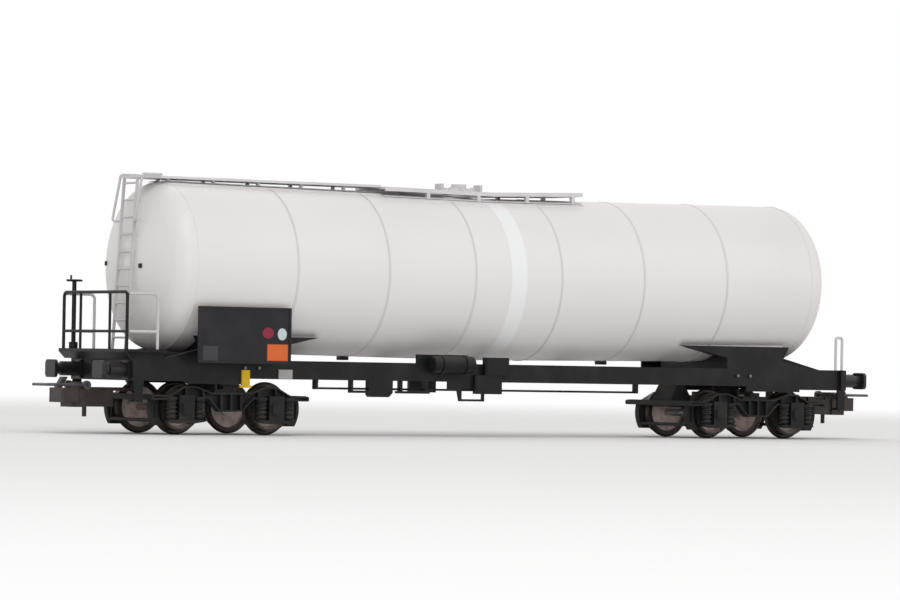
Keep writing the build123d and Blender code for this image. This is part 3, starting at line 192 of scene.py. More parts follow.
class Tree:
    """A node tree under construction."""

    def __init__(self, tree: bpy.types.NodeTree) -> None:
        """Empties a tree."""
        self.tree = tree
        self.tree.nodes.clear()

    def put(self, socket: bpy.types.NodeSocket, value: object) -> None:
        """Links a field or socket to an input socket, or sets a constant there."""
        if isinstance(value, Field):
            value = value.socket
        if isinstance(value, bpy.types.NodeSocket):
            self.tree.links.new(value, socket)
        else:
            socket.default_value = value

    def node(
        self, kind: str, settings: dict | None = None, inputs: dict | None = None
    ) -> bpy.types.Node:
        """Adds any node.

        Args:
            kind: The node's type.
            settings: Its own settings, set first.
            inputs: The value or link of each socket, by name or number.

        Returns:
            The node.
        """
        node = self.tree.nodes.new(kind)
        for key, value in (settings or {}).items():
            setattr(node, key, value)
        for key, value in (inputs or {}).items():
            self.put(node.inputs[key], value)
        return node

    def seen(self) -> Field:
        """1 on the rays that the camera, gloss or glass sees, and 0 on all others."""
        path = self.node("ShaderNodeLightPath")
        seen = Field(self, path.outputs["Is Camera Ray"])
        for kind in ("Is Glossy Ray", "Is Transmission Ray"):
            seen = seen.apply("MAXIMUM", Field(self, path.outputs[kind]))
        return seen


class Shader(Tree):
    """The node tree of one material round one Principled shader."""

    def __init__(self, name: str) -> None:
        """Starts a material with a Principled shader and coordinates in millimetres."""
        self.material = bpy.data.materials.new(name)
        self.material.use_nodes = True
        super().__init__(self.material.node_tree)
        self.principled = self.node("ShaderNodeBsdfPrincipled")
        surface = {"Surface": self.principled.outputs[0]}
        self.output = self.node("ShaderNodeOutputMaterial", inputs=surface)
        coordinates = self.node("ShaderNodeTexCoord")
        inputs = {0: coordinates.outputs["Object"], "Scale": 1 / MM}
        scaled = self.node("ShaderNodeVectorMath", {"operation": "SCALE"}, inputs)
        self.place = scaled.outputs[0]
        parts = self.node("ShaderNodeSeparateXYZ", inputs={0: self.place})
        self.x, self.y, self.z = (Field(self, socket) for socket in parts.outputs)

    def noise(self, noise: Noise) -> Field:
        """Noise between about 0 and 1.

        Args:
            noise: Its size, layers and stretch.

        Returns:
            The noise.
        """
        scale = tuple(1 / (noise.size * stretch) for stretch in noise.stretch)
        mapping = self.node("ShaderNodeMapping", inputs={"Vector": self.place, "Scale": scale})
        inputs = {"Vector": mapping.outputs[0], "Scale": 1.0, "Detail": noise.detail}
        node = self.node("ShaderNodeTexNoise", inputs=inputs)
        return Field(self, node.outputs[0])

    def mix(
        self,
        first: Colour | bpy.types.NodeSocket,
        second: Colour | bpy.types.NodeSocket,
        share: Field,
    ) -> bpy.types.NodeSocket:
        """Mixes two colours.

        Args:
            first: The colour where the share is 0.
            second: The colour where the share is 1.
            share: The share of the second colour.

        Returns:
            The mixed colour's socket.
        """
        node = self.node("ShaderNodeMix", {"data_type": "RGBA"})
        sockets = {socket.name: socket for socket in node.inputs if socket.enabled}
        self.put(sockets["Factor"], share)
        for name, colour in (("A", first), ("B", second)):
            self.put(sockets[name], (*colour, 1.0) if isinstance(colour, tuple) else colour)
        return next(socket for socket in node.outputs if socket.enabled)

    def feed(self, **sockets: "Field | float | Colour | bpy.types.NodeSocket") -> None:
        """Sets or links the Principled shader's sockets, named with _ for spaces."""
        for key, value in sockets.items():
            socket = self.principled.inputs[key.replace("_", " ")]
            self.put(socket, (*value, 1.0) if isinstance(value, tuple) else value)

    def bump(self, height: Field, depth: float, strength: float) -> None:
        """Feeds a Bump node to the shader's Normal.

        Args:
            height: The height, 0 to 1.
            depth: How deep 1 is, in millimetres.
            strength: The Bump node's strength.
        """
        inputs = {"Strength": strength, "Distance": depth * MM, "Height": height}
        node = self.node("ShaderNodeBump", inputs=inputs)
        self.put(self.principled.inputs["Normal"], node.outputs[0])


@dataclass(frozen=True)
class MouldedPlastic:
    """A moulded plastic with mould grain, faint blotches, and a dust colour laid in blotches and on
    what faces up; on the black mouldings the lighter top faces are partly a painted highlight.
    """

    name: str
    colour: Colour
    # The dust colour and its shares do two things: dust in blotches and on ledges, and, on the
    # black mouldings, a painted highlight on faces that point up.
    dust_and_sheen: Colour = linear(96, 90, 86)
    dust_and_sheen_share: float = 0.06
    ledge_dust_and_sheen_share: float = 0.3
    roughness: float = 0.42
    gloss: float = 0.22
    contrast: float = 1.5
    blotch: Noise = Noise(6.0)
    grain: Noise = Noise(0.25, 2.0)
    grain_depth: float = 0.012
    grain_strength: float = 0.6
    upward_span: Span = (0.2, 1.0)
    settled_span: Span = (0.42, 0.75)
    lighter_span: Span = (0.35, 0.7)
    roughness_spread: float = 0.16
    ledge_roughness: float = 0.1

    def build(self) -> bpy.types.Material:
        """Makes the material."""
        shader = Shader(self.name)
        blotches = shader.noise(self.blotch)
        fine = shader.noise(self.grain)
        geometry = shader.node("ShaderNodeNewGeometry")
        facing = shader.node("ShaderNodeSeparateXYZ", inputs={0: geometry.outputs["Normal"]})
        # Faces that point up take more of the dust colour: settled dust, and on black plastic also
        # a painted highlight where light falls on top faces.
        upward = Field(shader, facing.outputs[2]).step(*self.upward_span)
        ledge = upward * (self.ledge_dust_and_sheen_share / self.dust_and_sheen_share)
        settled_dust_and_sheen = ledge + blotches.step(*self.settled_span)
        lighter = tuple(c * self.contrast for c in self.colour)
        tone = shader.mix(self.colour, lighter, blotches.step(*self.lighter_span))
        spread = self.roughness_spread
        roughness = blotches * spread + (self.roughness - spread / 2)
        shader.feed(
            Base_Color=shader.mix(tone, self.dust_and_sheen, settled_dust_and_sheen * self.dust_and_sheen_share),
            Roughness=roughness + upward * self.ledge_roughness,
            Specular_IOR_Level=self.gloss,
        )
        shader.bump(fine, self.grain_depth, self.grain_strength)
        return shader.material


@dataclass(frozen=True)
class TankPaint:
    """Light grey satin paint with a plain bright band round the middle of the tank."""

    name: str = "tank_paint"
    colour: Colour = linear(232, 228, 228)
    shade: Colour = linear(224, 219, 219)
    band: Colour = linear(238, 239, 240)
    seam: Colour = linear(196, 190, 188)
    seams: tuple[float, ...] = (10.7, 31.7, 53.3)
    seam_half: float = 0.5
    seam_share: float = 0.5
    band_half: float = 1.9
    band_edge: float = 0.05
    roughness: float = 0.36
    roughness_spread: float = 0.12
    gloss: float = 0.45
    clouds: Noise = Noise(26.0, 3.0, (1.6, 1.0, 1.0))
    clouds_span: Span = (0.4, 0.75)
    clouds_share: float = 0.6
    streaks: Noise = Noise(3.0, 4.0, (0.8, 1.0, 9.0))
    streaks_share: float = 0.12
    skin: Noise = Noise(0.5, 2.0)
    skin_share: float = 0.4
    skin_depth: float = 0.03
    skin_strength: float = 0.35

    def build(self) -> bpy.types.Material:
        """Makes the material."""
        shader = Shader(self.name)
        clouds = shader.noise(self.clouds)
        streaks = shader.noise(self.streaks)
        shaded = clouds.step(*self.clouds_span) * self.clouds_share + streaks * self.streaks_share
        paint = shader.mix(self.colour, self.shade, shaded)
        for place in self.seams:
            off = abs(abs(shader.x) - place)
            paint = shader.mix(paint, self.seam, off.step(self.seam_half, 0.0) * self.seam_share)
        band = abs(shader.x).step(self.band_half + self.band_edge, self.band_half - self.band_edge)
        spread = self.roughness_spread
        shader.feed(
            Base_Color=shader.mix(paint, self.band, band),
            Roughness=clouds * spread + (self.roughness - spread / 2),
            Specular_IOR_Level=self.gloss,
        )
        skin = shader.noise(self.skin) * self.skin_share + clouds * (1 - self.skin_share)
        shader.bump(skin, self.skin_depth, self.skin_strength)
        return shader.material


@dataclass(frozen=True)
class WheelMetal:
    """A brown-grey metal disc inside a blackened rim, tread and flange."""

    name: str
    centre_x: float
    centre_z: float
    rim_radius: float
    disc: Colour = linear(222, 204, 196)
    dirt: Colour = linear(184, 166, 158)
    rim: Colour = linear(58, 52, 50)
    worn: Colour = linear(92, 86, 84)
    rim_edge: float = 0.05
    blotch: Noise = Noise(1.6, 4.0)
    dirt_span: Span = (0.4, 0.75)
    worn_span: Span = (0.55, 0.85)
    worn_share: float = 0.5
    metallic: float = 0.1
    rim_metallic: float = 0.5
    roughness: float = 0.40
    rim_roughness: float = -0.1
    roughness_spread: float = 0.12
    groove_rate: float = 34.0
    groove_share: float = 0.5
    blotch_share: float = 0.3
    groove_depth: float = 0.01
    groove_strength: float = 0.5

    def build(self) -> bpy.types.Material:
        """Makes the material."""
        shader = Shader(self.name)
        across = shader.x - self.centre_x
        above = shader.z - self.centre_z
        radius = (across * across + above * above) ** 0.5
        rim = radius.step(self.rim_radius - self.rim_edge, self.rim_radius + self.rim_edge)
        blotches = shader.noise(self.blotch)
        turned = (radius * self.groove_rate).apply("SINE") * 0.5 + 0.5
        disc = shader.mix(self.disc, self.dirt, blotches.step(*self.dirt_span))
        metal = shader.mix(self.rim, self.worn, blotches.step(*self.worn_span) * self.worn_share)
        shader.feed(
            Base_Color=shader.mix(disc, metal, rim),
            Metallic=rim * self.rim_metallic + self.metallic,
            Roughness=rim * self.rim_roughness + blotches * self.roughness_spread + self.roughness,
        )
        grooves = turned * self.groove_share + blotches * self.blotch_share
        shader.bump(grooves, self.groove_depth, self.groove_strength)
        return shader.material


@dataclass(frozen=True)
class PlainMetal:
    """Turned or drawn metal with fine lines across its length."""

    name: str
    colour: Colour
    roughness: float = 0.3
    metallic: float = 1.0
    blotch: Noise = Noise(1.2, 4.0)
    blotch_span: Span = (0.45, 0.8)
    darkening: float = 0.6
    roughness_spread: float = 0.2
    lines: Noise = Noise(0.12, 1.0, (1.0, 6.0, 1.0))
    line_depth: float = 0.006
    line_strength: float = 0.5

    def build(self) -> bpy.types.Material:
        """Makes the material."""
        shader = Shader(self.name)
        blotches = shader.noise(self.blotch)
        darker = tuple(c * self.darkening for c in self.colour)
        spread = self.roughness_spread
        shader.feed(
            Base_Color=shader.mix(self.colour, darker, blotches.step(*self.blotch_span)),
            Metallic=self.metallic,
            Roughness=blotches * spread + (self.roughness - spread / 2),
        )
        shader.bump(shader.noise(self.lines), self.line_depth, self.line_strength)
        return shader.material


@dataclass(frozen=True)
class Patch:
    """A plain coloured spot on a side panel: a rectangle in X and Z, or the round that fills it."""

    start: float
    end: float
    low: float
    high: float
    colour: Colour
    round: bool = False

    def mirrored(self) -> "Patch":
        """The same spot for the panel on the other side."""
        return Patch(-self.end, -self.start, self.low, self.high, self.colour, self.round)

    def share(self, shader: Shader, edge: float) -> Field:
        """Where the spot lies.

        Args:
            shader: The panel's shader.
            edge: Half the width of the soft edge.

        Returns:
            1 inside the spot and 0 outside.
        """
        if self.round:
            across = (shader.x - (self.start + self.end) / 2) / ((self.end - self.start) / 2)
            above = (shader.z - (self.low + self.high) / 2) / ((self.high - self.low) / 2)
            return ((across * across + above * above) ** 0.5).step(1 + edge, 1 - edge)
        along = shader.x.step(self.start - edge, self.start + edge)
        along = along * shader.x.step(self.end + edge, self.end - edge)
        up = shader.z.step(self.low - edge, self.low + edge)
        return along * up * shader.z.step(self.high + edge, self.high - edge)


@dataclass(frozen=True)
class PanelFinish:
    """Black panel paint with plain coloured patches on its outer face."""

    name: str
    patches: tuple[Patch, ...]
    colour: Colour = linear(30, 29, 32)
    edge: float = 0.06
    outer_face: float = 16.0
    contrast: float = 1.6
    blotch: Noise = Noise(5.0)
    blotch_span: Span = (0.4, 0.75)
    roughness: float = 0.38
    roughness_spread: float = 0.14
    gloss: float = 0.25
    grain: Noise = Noise(0.3, 2.0)
    grain_depth: float = 0.01
    grain_strength: float = 0.5

    def build(self) -> bpy.types.Material:
        """Makes the material."""
        shader = Shader(self.name)
        blotches = shader.noise(self.blotch)
        tone = tuple(c * self.contrast for c in self.colour)
        colour = shader.mix(self.colour, tone, blotches.step(*self.blotch_span))
        out = abs(shader.y) > self.outer_face
        for patch in self.patches:
            colour = shader.mix(colour, patch.colour, patch.share(shader, self.edge) * out)
        shader.feed(
            Base_Color=colour,
            Roughness=blotches * self.roughness_spread + self.roughness,
            Specular_IOR_Level=self.gloss,
        )
        shader.bump(shader.noise(self.grain), self.grain_depth, self.grain_strength)
        return shader.material


class Piece:
    """One mesh under construction, in millimetres."""

    def __init__(self, name: str) -> None:
        """Starts an empty piece."""
        self.name = name
        self.mesh = bmesh.new()

    def turned(self, centre: Vector, axis: Vector) -> Matrix:
        """The matrix that takes the Z axis at the origin to an axis at a centre."""
        return Matrix.Translation(centre) @ axis.to_track_quat("Z", "Y").to_matrix().to_4x4()

    def block(self, low: Point, high: Point, bevel: float = 0.0) -> None:
        """A box between two corners, with bevelled edges.

        Args:
            low: One corner.
            high: The other corner.
            bevel: The width of the bevel on all edges.
        """
        low, high = Vector(low), Vector(high)
        size = high - low
        matrix = Matrix.Translation((low + high) / 2) @ Matrix.Diagonal((*size, 1))
        made = bmesh.ops.create_cube(self.mesh, size=1.0, matrix=matrix)
        if bevel:
            bmesh.ops.bevel(
                self.mesh,
                geom=list({edge for vert in made["verts"] for edge in vert.link_edges}),
                offset=bevel,
                affect="EDGES",
                segments=1,
                profile=0.5,
                material=-1,
            )

    def beam(self, start: Vector, end: Vector, width: float, height: float) -> None:
        """A bar of square section between two points.

        Args:
            start: The middle of one end.
            end: The middle of the other end.
            width: Its size across.
            height: Its size up.
        """
        span = end - start
        size = Matrix.Diagonal((height, width, span.length, 1))
        frame_matrix = self.framed((start + end) / 2, span)
        bmesh.ops.create_cube(self.mesh, size=1.0, matrix=frame_matrix @ size)

    def hexagon(self, base: Vector, axis: Vector, width: float, height: float) -> None:
        """A hexagonal bolt head that stands on a surface.

        Args:
            base: The middle of its foot.
            axis: The direction away from the surface.
            width: Its width across the corners.
            height: Its height.
        """
        sunk, top = base - axis * height * HEAD_SUNK_SHARE, base + axis * height
        span = top - sunk
        bmesh.ops.create_cone(
            self.mesh,
            cap_ends=True,
            segments=6,
            radius1=width / 2,
            radius2=width / 2 * HEAD_TAPER,
            depth=span.length,
            matrix=self.turned((sunk + top) / 2, span),
        )

    def tube(self, points: list[Vector], radius: float) -> None:
        """A round wire along points, made of one ring at each.

        Args:
            points: The places it passes.
            radius: The wire's radius.
        """
        rings = []
        for index, point in enumerate(points):
            before = points[max(index - 1, 0)]
            after = points[min(index + 1, len(points) - 1)]
            made = bmesh.ops.create_circle(
                self.mesh,
                cap_ends=False,
                segments=WIRE_SIDES,
                radius=radius,
                matrix=self.framed(point, after - before),
            )
            rings.append(made["verts"])
        for first, second in zip(rings, rings[1:]):
            edges = {e for ring in (first, second) for v in ring for e in v.link_edges}
            first, second = set(first), set(second)
            loops = [e for e in edges if set(e.verts) <= first or set(e.verts) <= second]
            bmesh.ops.bridge_loops(self.mesh, edges=loops)
        for ring in (set(rings[0]), set(rings[-1])):
            edges = {e for v in ring for e in v.link_edges}
            loop = [e for e in edges if set(e.verts) <= ring]
            bmesh.ops.holes_fill(self.mesh, edges=loop, sides=WIRE_SIDES)

    def framed(self, centre: Vector, along: Vector) -> Matrix:
        """A frame at a centre, with Z along a direction and X near the car's up."""
        z = along.normalized()
        guide = Way.UP.value if abs(z.z) < STEEP else Way.ALONG.value
        y = z.cross(guide).normalized()
        x = y.cross(z)
        return Matrix.Translation(centre) @ Matrix((x, y, z)).transposed().to_4x4()

    def finish(self, material: bpy.types.Material, body: str, slot: str) -> None:
        """Turns the piece into an object that rides on a body.

        Args:
            material: Its finish.
            body: The CAD body that it moves with.
            slot: The record's material slot; not used.
        """
        bmesh.ops.scale(self.mesh, vec=(MM, MM, MM), verts=self.mesh.verts)
        bmesh.ops.recalc_face_normals(self.mesh, faces=self.mesh.faces)
        for face in self.mesh.faces:
            face.smooth = True
        for edge in self.mesh.edges:
            edge.smooth = edge.calc_face_angle(math.pi) < SMOOTH_LIMIT
        data = bpy.data.meshes.new(self.name)
        self.mesh.to_mesh(data)
        self.mesh.free()
        data.materials.append(material)
        made = bpy.data.objects.new(self.name, data)
        bpy.context.scene.collection.objects.link(made)
        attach(made, body)
        triangles = sum(len(p.vertices) - 2 for p in data.polygons)
        LOG.info("%s: %d triangles on %s", self.name, triangles, body)


def tank_height(x: float, y: float) -> float:
    """The height of the tank's upper surface at a place along and across the car.

    Args:
        x: The place along the car.
        y: The place across it.

    Returns:
        The height in millimetres, with the tank's kink.
    """
    axis = box_mm("tank_shell")[0].z + TANK_RADIUS + abs(x) * math.tan(TANK_KINK)
    return axis + math.sqrt(max(0.0, TANK_RADIUS**2 - y**2))


def tank_half_width(x: float, z: float) -> float:
    """Half the width of the tank at a place along the car and a height."""
    return math.sqrt(TANK_RADIUS**2 - (tank_height(x, TANK_RADIUS) - z) ** 2)


def dress(node: str, material: bpy.types.Material) -> None:
    """Gives a CAD node its finish.

    Args:
        node: The node's name.
        material: The finish.
    """
    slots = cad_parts[node].data.materials
    slots.clear()
    slots.append(material)
    LOG.info("%s: %s", node, material.name)


class Palette:
    """The finishes that several pieces share, each made once."""

    def __init__(self) -> None:
        """Makes the shared finishes."""
        black = linear(20, 20, 22)
        # The frame black lightens on upward faces through the dust colour: partly dust, partly a
        # painted highlight.
        self.frame = MouldedPlastic("frame_black", black).build()
        self.bogie = MouldedPlastic(
            "bogie_black", linear(27, 27, 27), roughness=0.52, dust_and_sheen_share=0.10
        ).build()
        self.buffer = MouldedPlastic(
            "buffer_black", linear(28, 27, 29), roughness=0.34, gloss=0.35
        ).build()
        self.coupler = MouldedPlastic(
            "coupler_black", linear(60, 53, 50), roughness=0.45, dust_and_sheen_share=0.12
        ).build()
        self.walkway = MouldedPlastic(
            "walkway_grey", linear(216, 214, 215), dust_and_sheen=linear(190, 187, 186), roughness=0.5,
            ledge_dust_and_sheen_share=0.05, contrast=0.9,
        ).build()
        self.ladder = MouldedPlastic(
            "ladder_grey", linear(204, 201, 203), dust_and_sheen=linear(170, 166, 164), roughness=0.45,
            ledge_dust_and_sheen_share=0.05, contrast=0.9,
        ).build()
        self.lever = MouldedPlastic(
            "lever_yellow", linear(230, 190, 34), roughness=0.35, ledge_dust_and_sheen_share=0.05, contrast=0.85
        ).build()
        self.plate = MouldedPlastic(
            "plate_grey", linear(176, 174, 172), roughness=0.4, ledge_dust_and_sheen_share=0.05, contrast=0.88
        ).build()
        self.tank = TankPaint().build()
        self.axle = PlainMetal("axle_steel", linear(176, 174, 174)).build()
        self.wire = PlainMetal(
            "wire_steel", linear(92, 90, 92), roughness=0.4, metallic=0.8
        ).build()
        self.fastener = PlainMetal(
            "fastener_dark", linear(52, 50, 52), roughness=0.45, metallic=0.5
        ).build()
        self.bolt = PlainMetal(
            "bolt_bright", linear(118, 116, 117), roughness=0.4, metallic=0.6
        ).build()


@dataclass
class Underframe:
    """Sills, saddles, ends and brake gear, with the bolts and strips on them."""

    palette: Palette
    bolt_width: float = 0.75
    bolt_height: float = 0.22
    bolt_places: tuple[float, float] = (59.6, 62.9)
    bolt_below_top: float = 1.55
    strip_height: float = 0.4
    strip_depth: float = 0.45
    strip_start: float = 45.8
    strip_end: float = 73.2
    pad_place: float = 32.4
    pad_half: float = 0.95
    pad_drop: float = 0.8
    pad_bevel: float = 0.1

    def build(self) -> None:
        """Dresses the nodes and adds the bolts and strips."""
        black = [
            "saddle_plain_end", "saddle_platform_end", "sill_near", "sill_far", "cross_members",
            "frame_end_plain", "frame_end_platform", "air_reservoir", "brake_rod", "valve_block",
            "valve_cradle", "step_stirrup", "outlet_box_near", "outlet_box_far",
            "corner_steps_platform_end", "corner_steps_plain_end", "tank_end_brackets",
        ]
        for node in black:
            dress(node, self.palette.frame)
        dress("end_handles", self.palette.ladder)
        for side in ("near", "far"):
            dress(f"changeover_lever_{side}", self.palette.lever)
            dress(f"lever_plate_{side}", self.palette.plate)
        self.sill_bolts()
        self.wing_strips()
        self.tank_pads()

    def wing_strips(self) -> None:
        """A pale strip on the tank along the top of each saddle wing."""
        piece = Piece("saddle_strips")
        z = box_mm("saddle_plain_end")[1].z + self.strip_height / 2
        y = tank_half_width(self.strip_end, z)
        for end in End:
            for side in (-1, 1):
                start = Vector((end.value * self.strip_start, side * y, z))
                stop = Vector((end.value * self.strip_end, side * y, z))
                piece.beam(start, stop, self.strip_depth, self.strip_height)
        piece.finish(self.palette.tank, "car", "tank_paint")

    def tank_pads(self) -> None:
        """Two small pads under the tank, on either side of its middle."""
        piece = Piece("tank_pads")
        bottom = 2 * tank_height(self.pad_place, TANK_RADIUS) - tank_height(self.pad_place, 0.0)
        for side in (-1, 1):
            x = side * self.pad_place
            low = (x - self.pad_half, -self.pad_half, bottom - self.pad_drop)
            high = (x + self.pad_half, self.pad_half, bottom + self.pad_drop / 2)
            piece.block(low, high, self.pad_bevel)
        piece.finish(self.palette.frame, "car", "frame_black")

    def sill_bolts(self) -> None:
        """Two bright bolts through each sill under each saddle."""
        face = abs(box_mm("sill_near")[0].y)
        height = box_mm("saddle_plain_end")[0].z - self.bolt_below_top
        piece = Piece("sill_bolts")
        for end in End:
            for side in (-1, 1):
                for place in self.bolt_places:
                    base = Vector((end.value * place, side * face, height))
                    piece.hexagon(base, Vector((0, side, 0)), self.bolt_width, self.bolt_height)
        piece.finish(self.palette.bolt, "car", "frame_black")


@dataclass
class Bogie:
    """One bogie: its frame moulding, coil springs, covers and wheelsets."""

    palette: Palette
    end: End
    spring_offset: float = 3.15
    spring_y: float = 11.75
    spring_low: float = 3.05
    spring_high: float = 7.35
    coil_radius: float = 0.98
    coil_wire: float = 0.19
    coil_turns: int = 5
    coil_steps: int = 18
    cover_bolt_radius: float = 1.32
    cover_bolt_width: float = 0.32
    cover_bolt_height: float = 0.14
    cover_bolt_sink: float = 0.2
    cover_bolt_count: int = 4
    rim_radius: float = 4.1
    hanger_place: float = 51.2
    hanger_length: float = 5.0
    hanger_half: float = 3.5
    hanger_foot: float = 6.6
    hanger_low: float = 8.9
    hanger_high: float = 11.6
    hanger_taper: float = 0.35
    horn_reach: tuple[float, float] = (1.1, 4.4)
    horn_depth: tuple[float, float] = (10.1, 10.4)

    @property
    def body(self) -> str:
        """The body that the frame rides on."""
        return f"bogie_{self.end.label}"

    @property
    def numbers(self) -> tuple[int, int]:
        """The numbers of its two wheelsets."""
        return (1, 2) if self.end is End.PLATFORM else (3, 4)

    def axles(self) -> list[float]:
        """The places of both axles along X."""
        return [sum(corner.x for corner in box_mm(f"axle_{n}")) / 2 for n in self.numbers]

    def axle_height(self) -> float:
        """The height of the axles."""
        return sum(corner.z for corner in box_mm(f"axle_{self.numbers[0]}")) / 2

    def build(self) -> None:
        """Dresses the frame and wheels and adds springs and bolts."""
        dress(f"bogie_frame_{self.end.label}", self.palette.bogie)
        height = self.axle_height()
        for number, x in zip(self.numbers, self.axles()):
            finish = WheelMetal(f"wheel_metal_{number}", x, height, self.rim_radius).build()
            dress(f"wheels_{number}", finish)
            dress(f"axle_{number}", self.palette.axle)
        self.springs()
        self.cover_bolts()
        self.horn_plates()
        if self.end is End.PLAIN:
            self.brake_hanger()

    def springs(self) -> None:
        """The coils of the eight springs."""
        piece = Piece(f"bogie_springs_{self.end.label}")
        for axle in self.axles():
            for offset in (-self.spring_offset, self.spring_offset):
                for y in (-self.spring_y, self.spring_y):
                    piece.tube(self.coil(axle + offset, y), self.coil_wire)
        piece.finish(self.palette.bogie, self.body, "bogie_black")

    def coil(self, x: float, y: float) -> list[Vector]:
        """The points of one coil round an upright axis.

        Args:
            x: The place of the axis along the car.
            y: The place of the axis across it.

        Returns:
            The points from the coil's foot to its top.
        """
        steps = self.coil_turns * self.coil_steps
        rise = (self.spring_high - self.spring_low) / steps
        points = []
        for step in range(steps + 1):
            angle = 2 * math.pi * step / self.coil_steps
            along, across = self.coil_radius * math.cos(angle), self.coil_radius * math.sin(angle)
            points.append(Vector((x + along, y + across, self.spring_low + step * rise)))
        return points

    def brake_hanger(self) -> None:
        """The tapered brake hanger inside the inner headstock, seen at the plain end only."""
        piece = Piece("brake_hanger")
        x = self.end.value * self.hanger_place
        middle = Vector((x, 0.0, (self.hanger_low + self.hanger_high) / 2))
        size = (self.hanger_length, 2 * self.hanger_half, self.hanger_high - self.hanger_low, 1)
        matrix = Matrix.Translation(middle) @ Matrix.Diagonal(size)
        cube = bmesh.ops.create_cube(piece.mesh, size=1.0, matrix=matrix)
        bmesh.ops.transform(
            piece.mesh,
            verts=[vert for vert in cube["verts"] if vert.co.z > middle.z],
            matrix=Matrix.Diagonal((self.hanger_taper, 1, 1, 1)),
            space=Matrix.Translation((-x, 0, 0)),
        )
        foot_low = (x - self.hanger_length / 2, -self.hanger_half, self.hanger_foot)
        foot_high = (x + self.hanger_length / 2, self.hanger_half, self.hanger_low)
        piece.block(foot_low, foot_high)
        piece.finish(self.palette.bogie, self.body, "bogie_black")

    def horn_plates(self) -> None:
        """Thin plates behind the springs, on either side of each axlebox."""
        piece = Piece(f"horn_plates_{self.end.label}")
        near, far = self.horn_reach
        for axle in self.axles():
            for side in (-1, 1):
                for way in (-1, 1):
                    x1, x2 = sorted(axle + way * reach for reach in (near, far))
                    y1, y2 = sorted(side * depth for depth in self.horn_depth)
                    piece.block((x1, y1, self.spring_low), (x2, y2, self.spring_high))
        piece.finish(self.palette.bogie, self.body, "bogie_black")

    def cover_bolts(self) -> None:
        """The bolt heads round each axlebox cover."""
        piece = Piece(f"axlebox_bolts_{self.end.label}")
        depth = abs(box_mm(f"bogie_frame_{self.end.label}")[0].y) - self.cover_bolt_sink
        height = self.axle_height()
        width = self.cover_bolt_width
        for axle in self.axles():
            for side in (-1, 1):
                for number in range(self.cover_bolt_count):
                    angle = (number + 0.5) * 2 * math.pi / self.cover_bolt_count
                    x = axle + self.cover_bolt_radius * math.cos(angle)
                    z = height + self.cover_bolt_radius * math.sin(angle)
                    base = Vector((x, side * depth, z))
                    piece.hexagon(base, Vector((0, side, 0)), width, self.cover_bolt_height)
        piece.finish(self.palette.fastener, self.body, "bogie_black")


@dataclass
class Buffers:
    """The buffers and their base bolts."""

    palette: Palette
    bolt_offset: float = 1.5
    bolt_width: float = 0.4
    bolt_height: float = 0.18
    base_thickness: float = 0.4

    def build(self) -> None:
        """Dresses the buffers and adds four bolts to each base."""
        places = (-self.bolt_offset, self.bolt_offset)
        for end in End:
            piece = Piece(f"buffer_bolts_{end.label}")
            outward = Vector((end.value, 0, 0))
            for side in ("near", "far"):
                node = f"buffer_{end.label}_{side}"
                dress(node, self.palette.buffer)
                low, high = box_mm(node)
                centre = (low + high) / 2
                face = (low.x if end is End.PLAIN else high.x) + end.value * self.base_thickness
                for across in places:
                    for up in places:
                        base = Vector((face, centre.y + across, centre.z + up))
                        piece.hexagon(base, outward, self.bolt_width, self.bolt_height)
            piece.finish(self.palette.fastener, "car", "buffer_black")


@dataclass
class Couplings:
    """Both couplings and their bails."""

    palette: Palette

    def build(self) -> None:
        """Dresses the couplings."""
        for end in End:
            dress(f"coupler_{end.label}", self.palette.coupler)
            dress(f"bail_{end.label}", self.palette.wire)


@dataclass
class Platform:
    """The brakeman's platform with its railings, ladder and tread pattern."""

    palette: Palette
    rim: float = 0.35
    recess: float = 0.12
    tread_length: float = 0.5
    tread_width: float = 0.14
    tread_pitch: float = 0.62
    tread_height: float = 0.07

    def build(self) -> None:
        """Dresses the nodes and adds the tread pattern."""
        for node in ("platform_deck", "platform_railing", "brake_column"):
            dress(node, self.palette.frame)
        for node in ("ladder", "ladder_grab_rails", "side_rail_near", "side_rail_far"):
            dress(node, self.palette.ladder)
        self.tread()

    def tread(self) -> None:
        """Raised dashes on the deck, turned alternately along and across."""
        low, high = box_mm("platform_deck")
        floor = high.z - self.recess
        piece = Piece("deck_tread")
        margin = self.rim + self.tread_length
        rows = int((high.y - low.y - 2 * margin) / self.tread_pitch)
        columns = int((high.x - low.x - 2 * margin) / self.tread_pitch)
        for row in range(rows + 1):
            for column in range(columns + 1):
                x = low.x + margin + column * self.tread_pitch
                y = low.y + margin + row * self.tread_pitch
                along = (row + column) % 2 == 0
                half_x = (self.tread_length if along else self.tread_width) / 2
                half_y = (self.tread_width if along else self.tread_length) / 2
                piece.block(
                    (x - half_x, y - half_y, floor - self.tread_height),
                    (x + half_x, y + half_y, floor + self.tread_height),
                )
        piece.finish(self.palette.frame, "car", "frame_black")


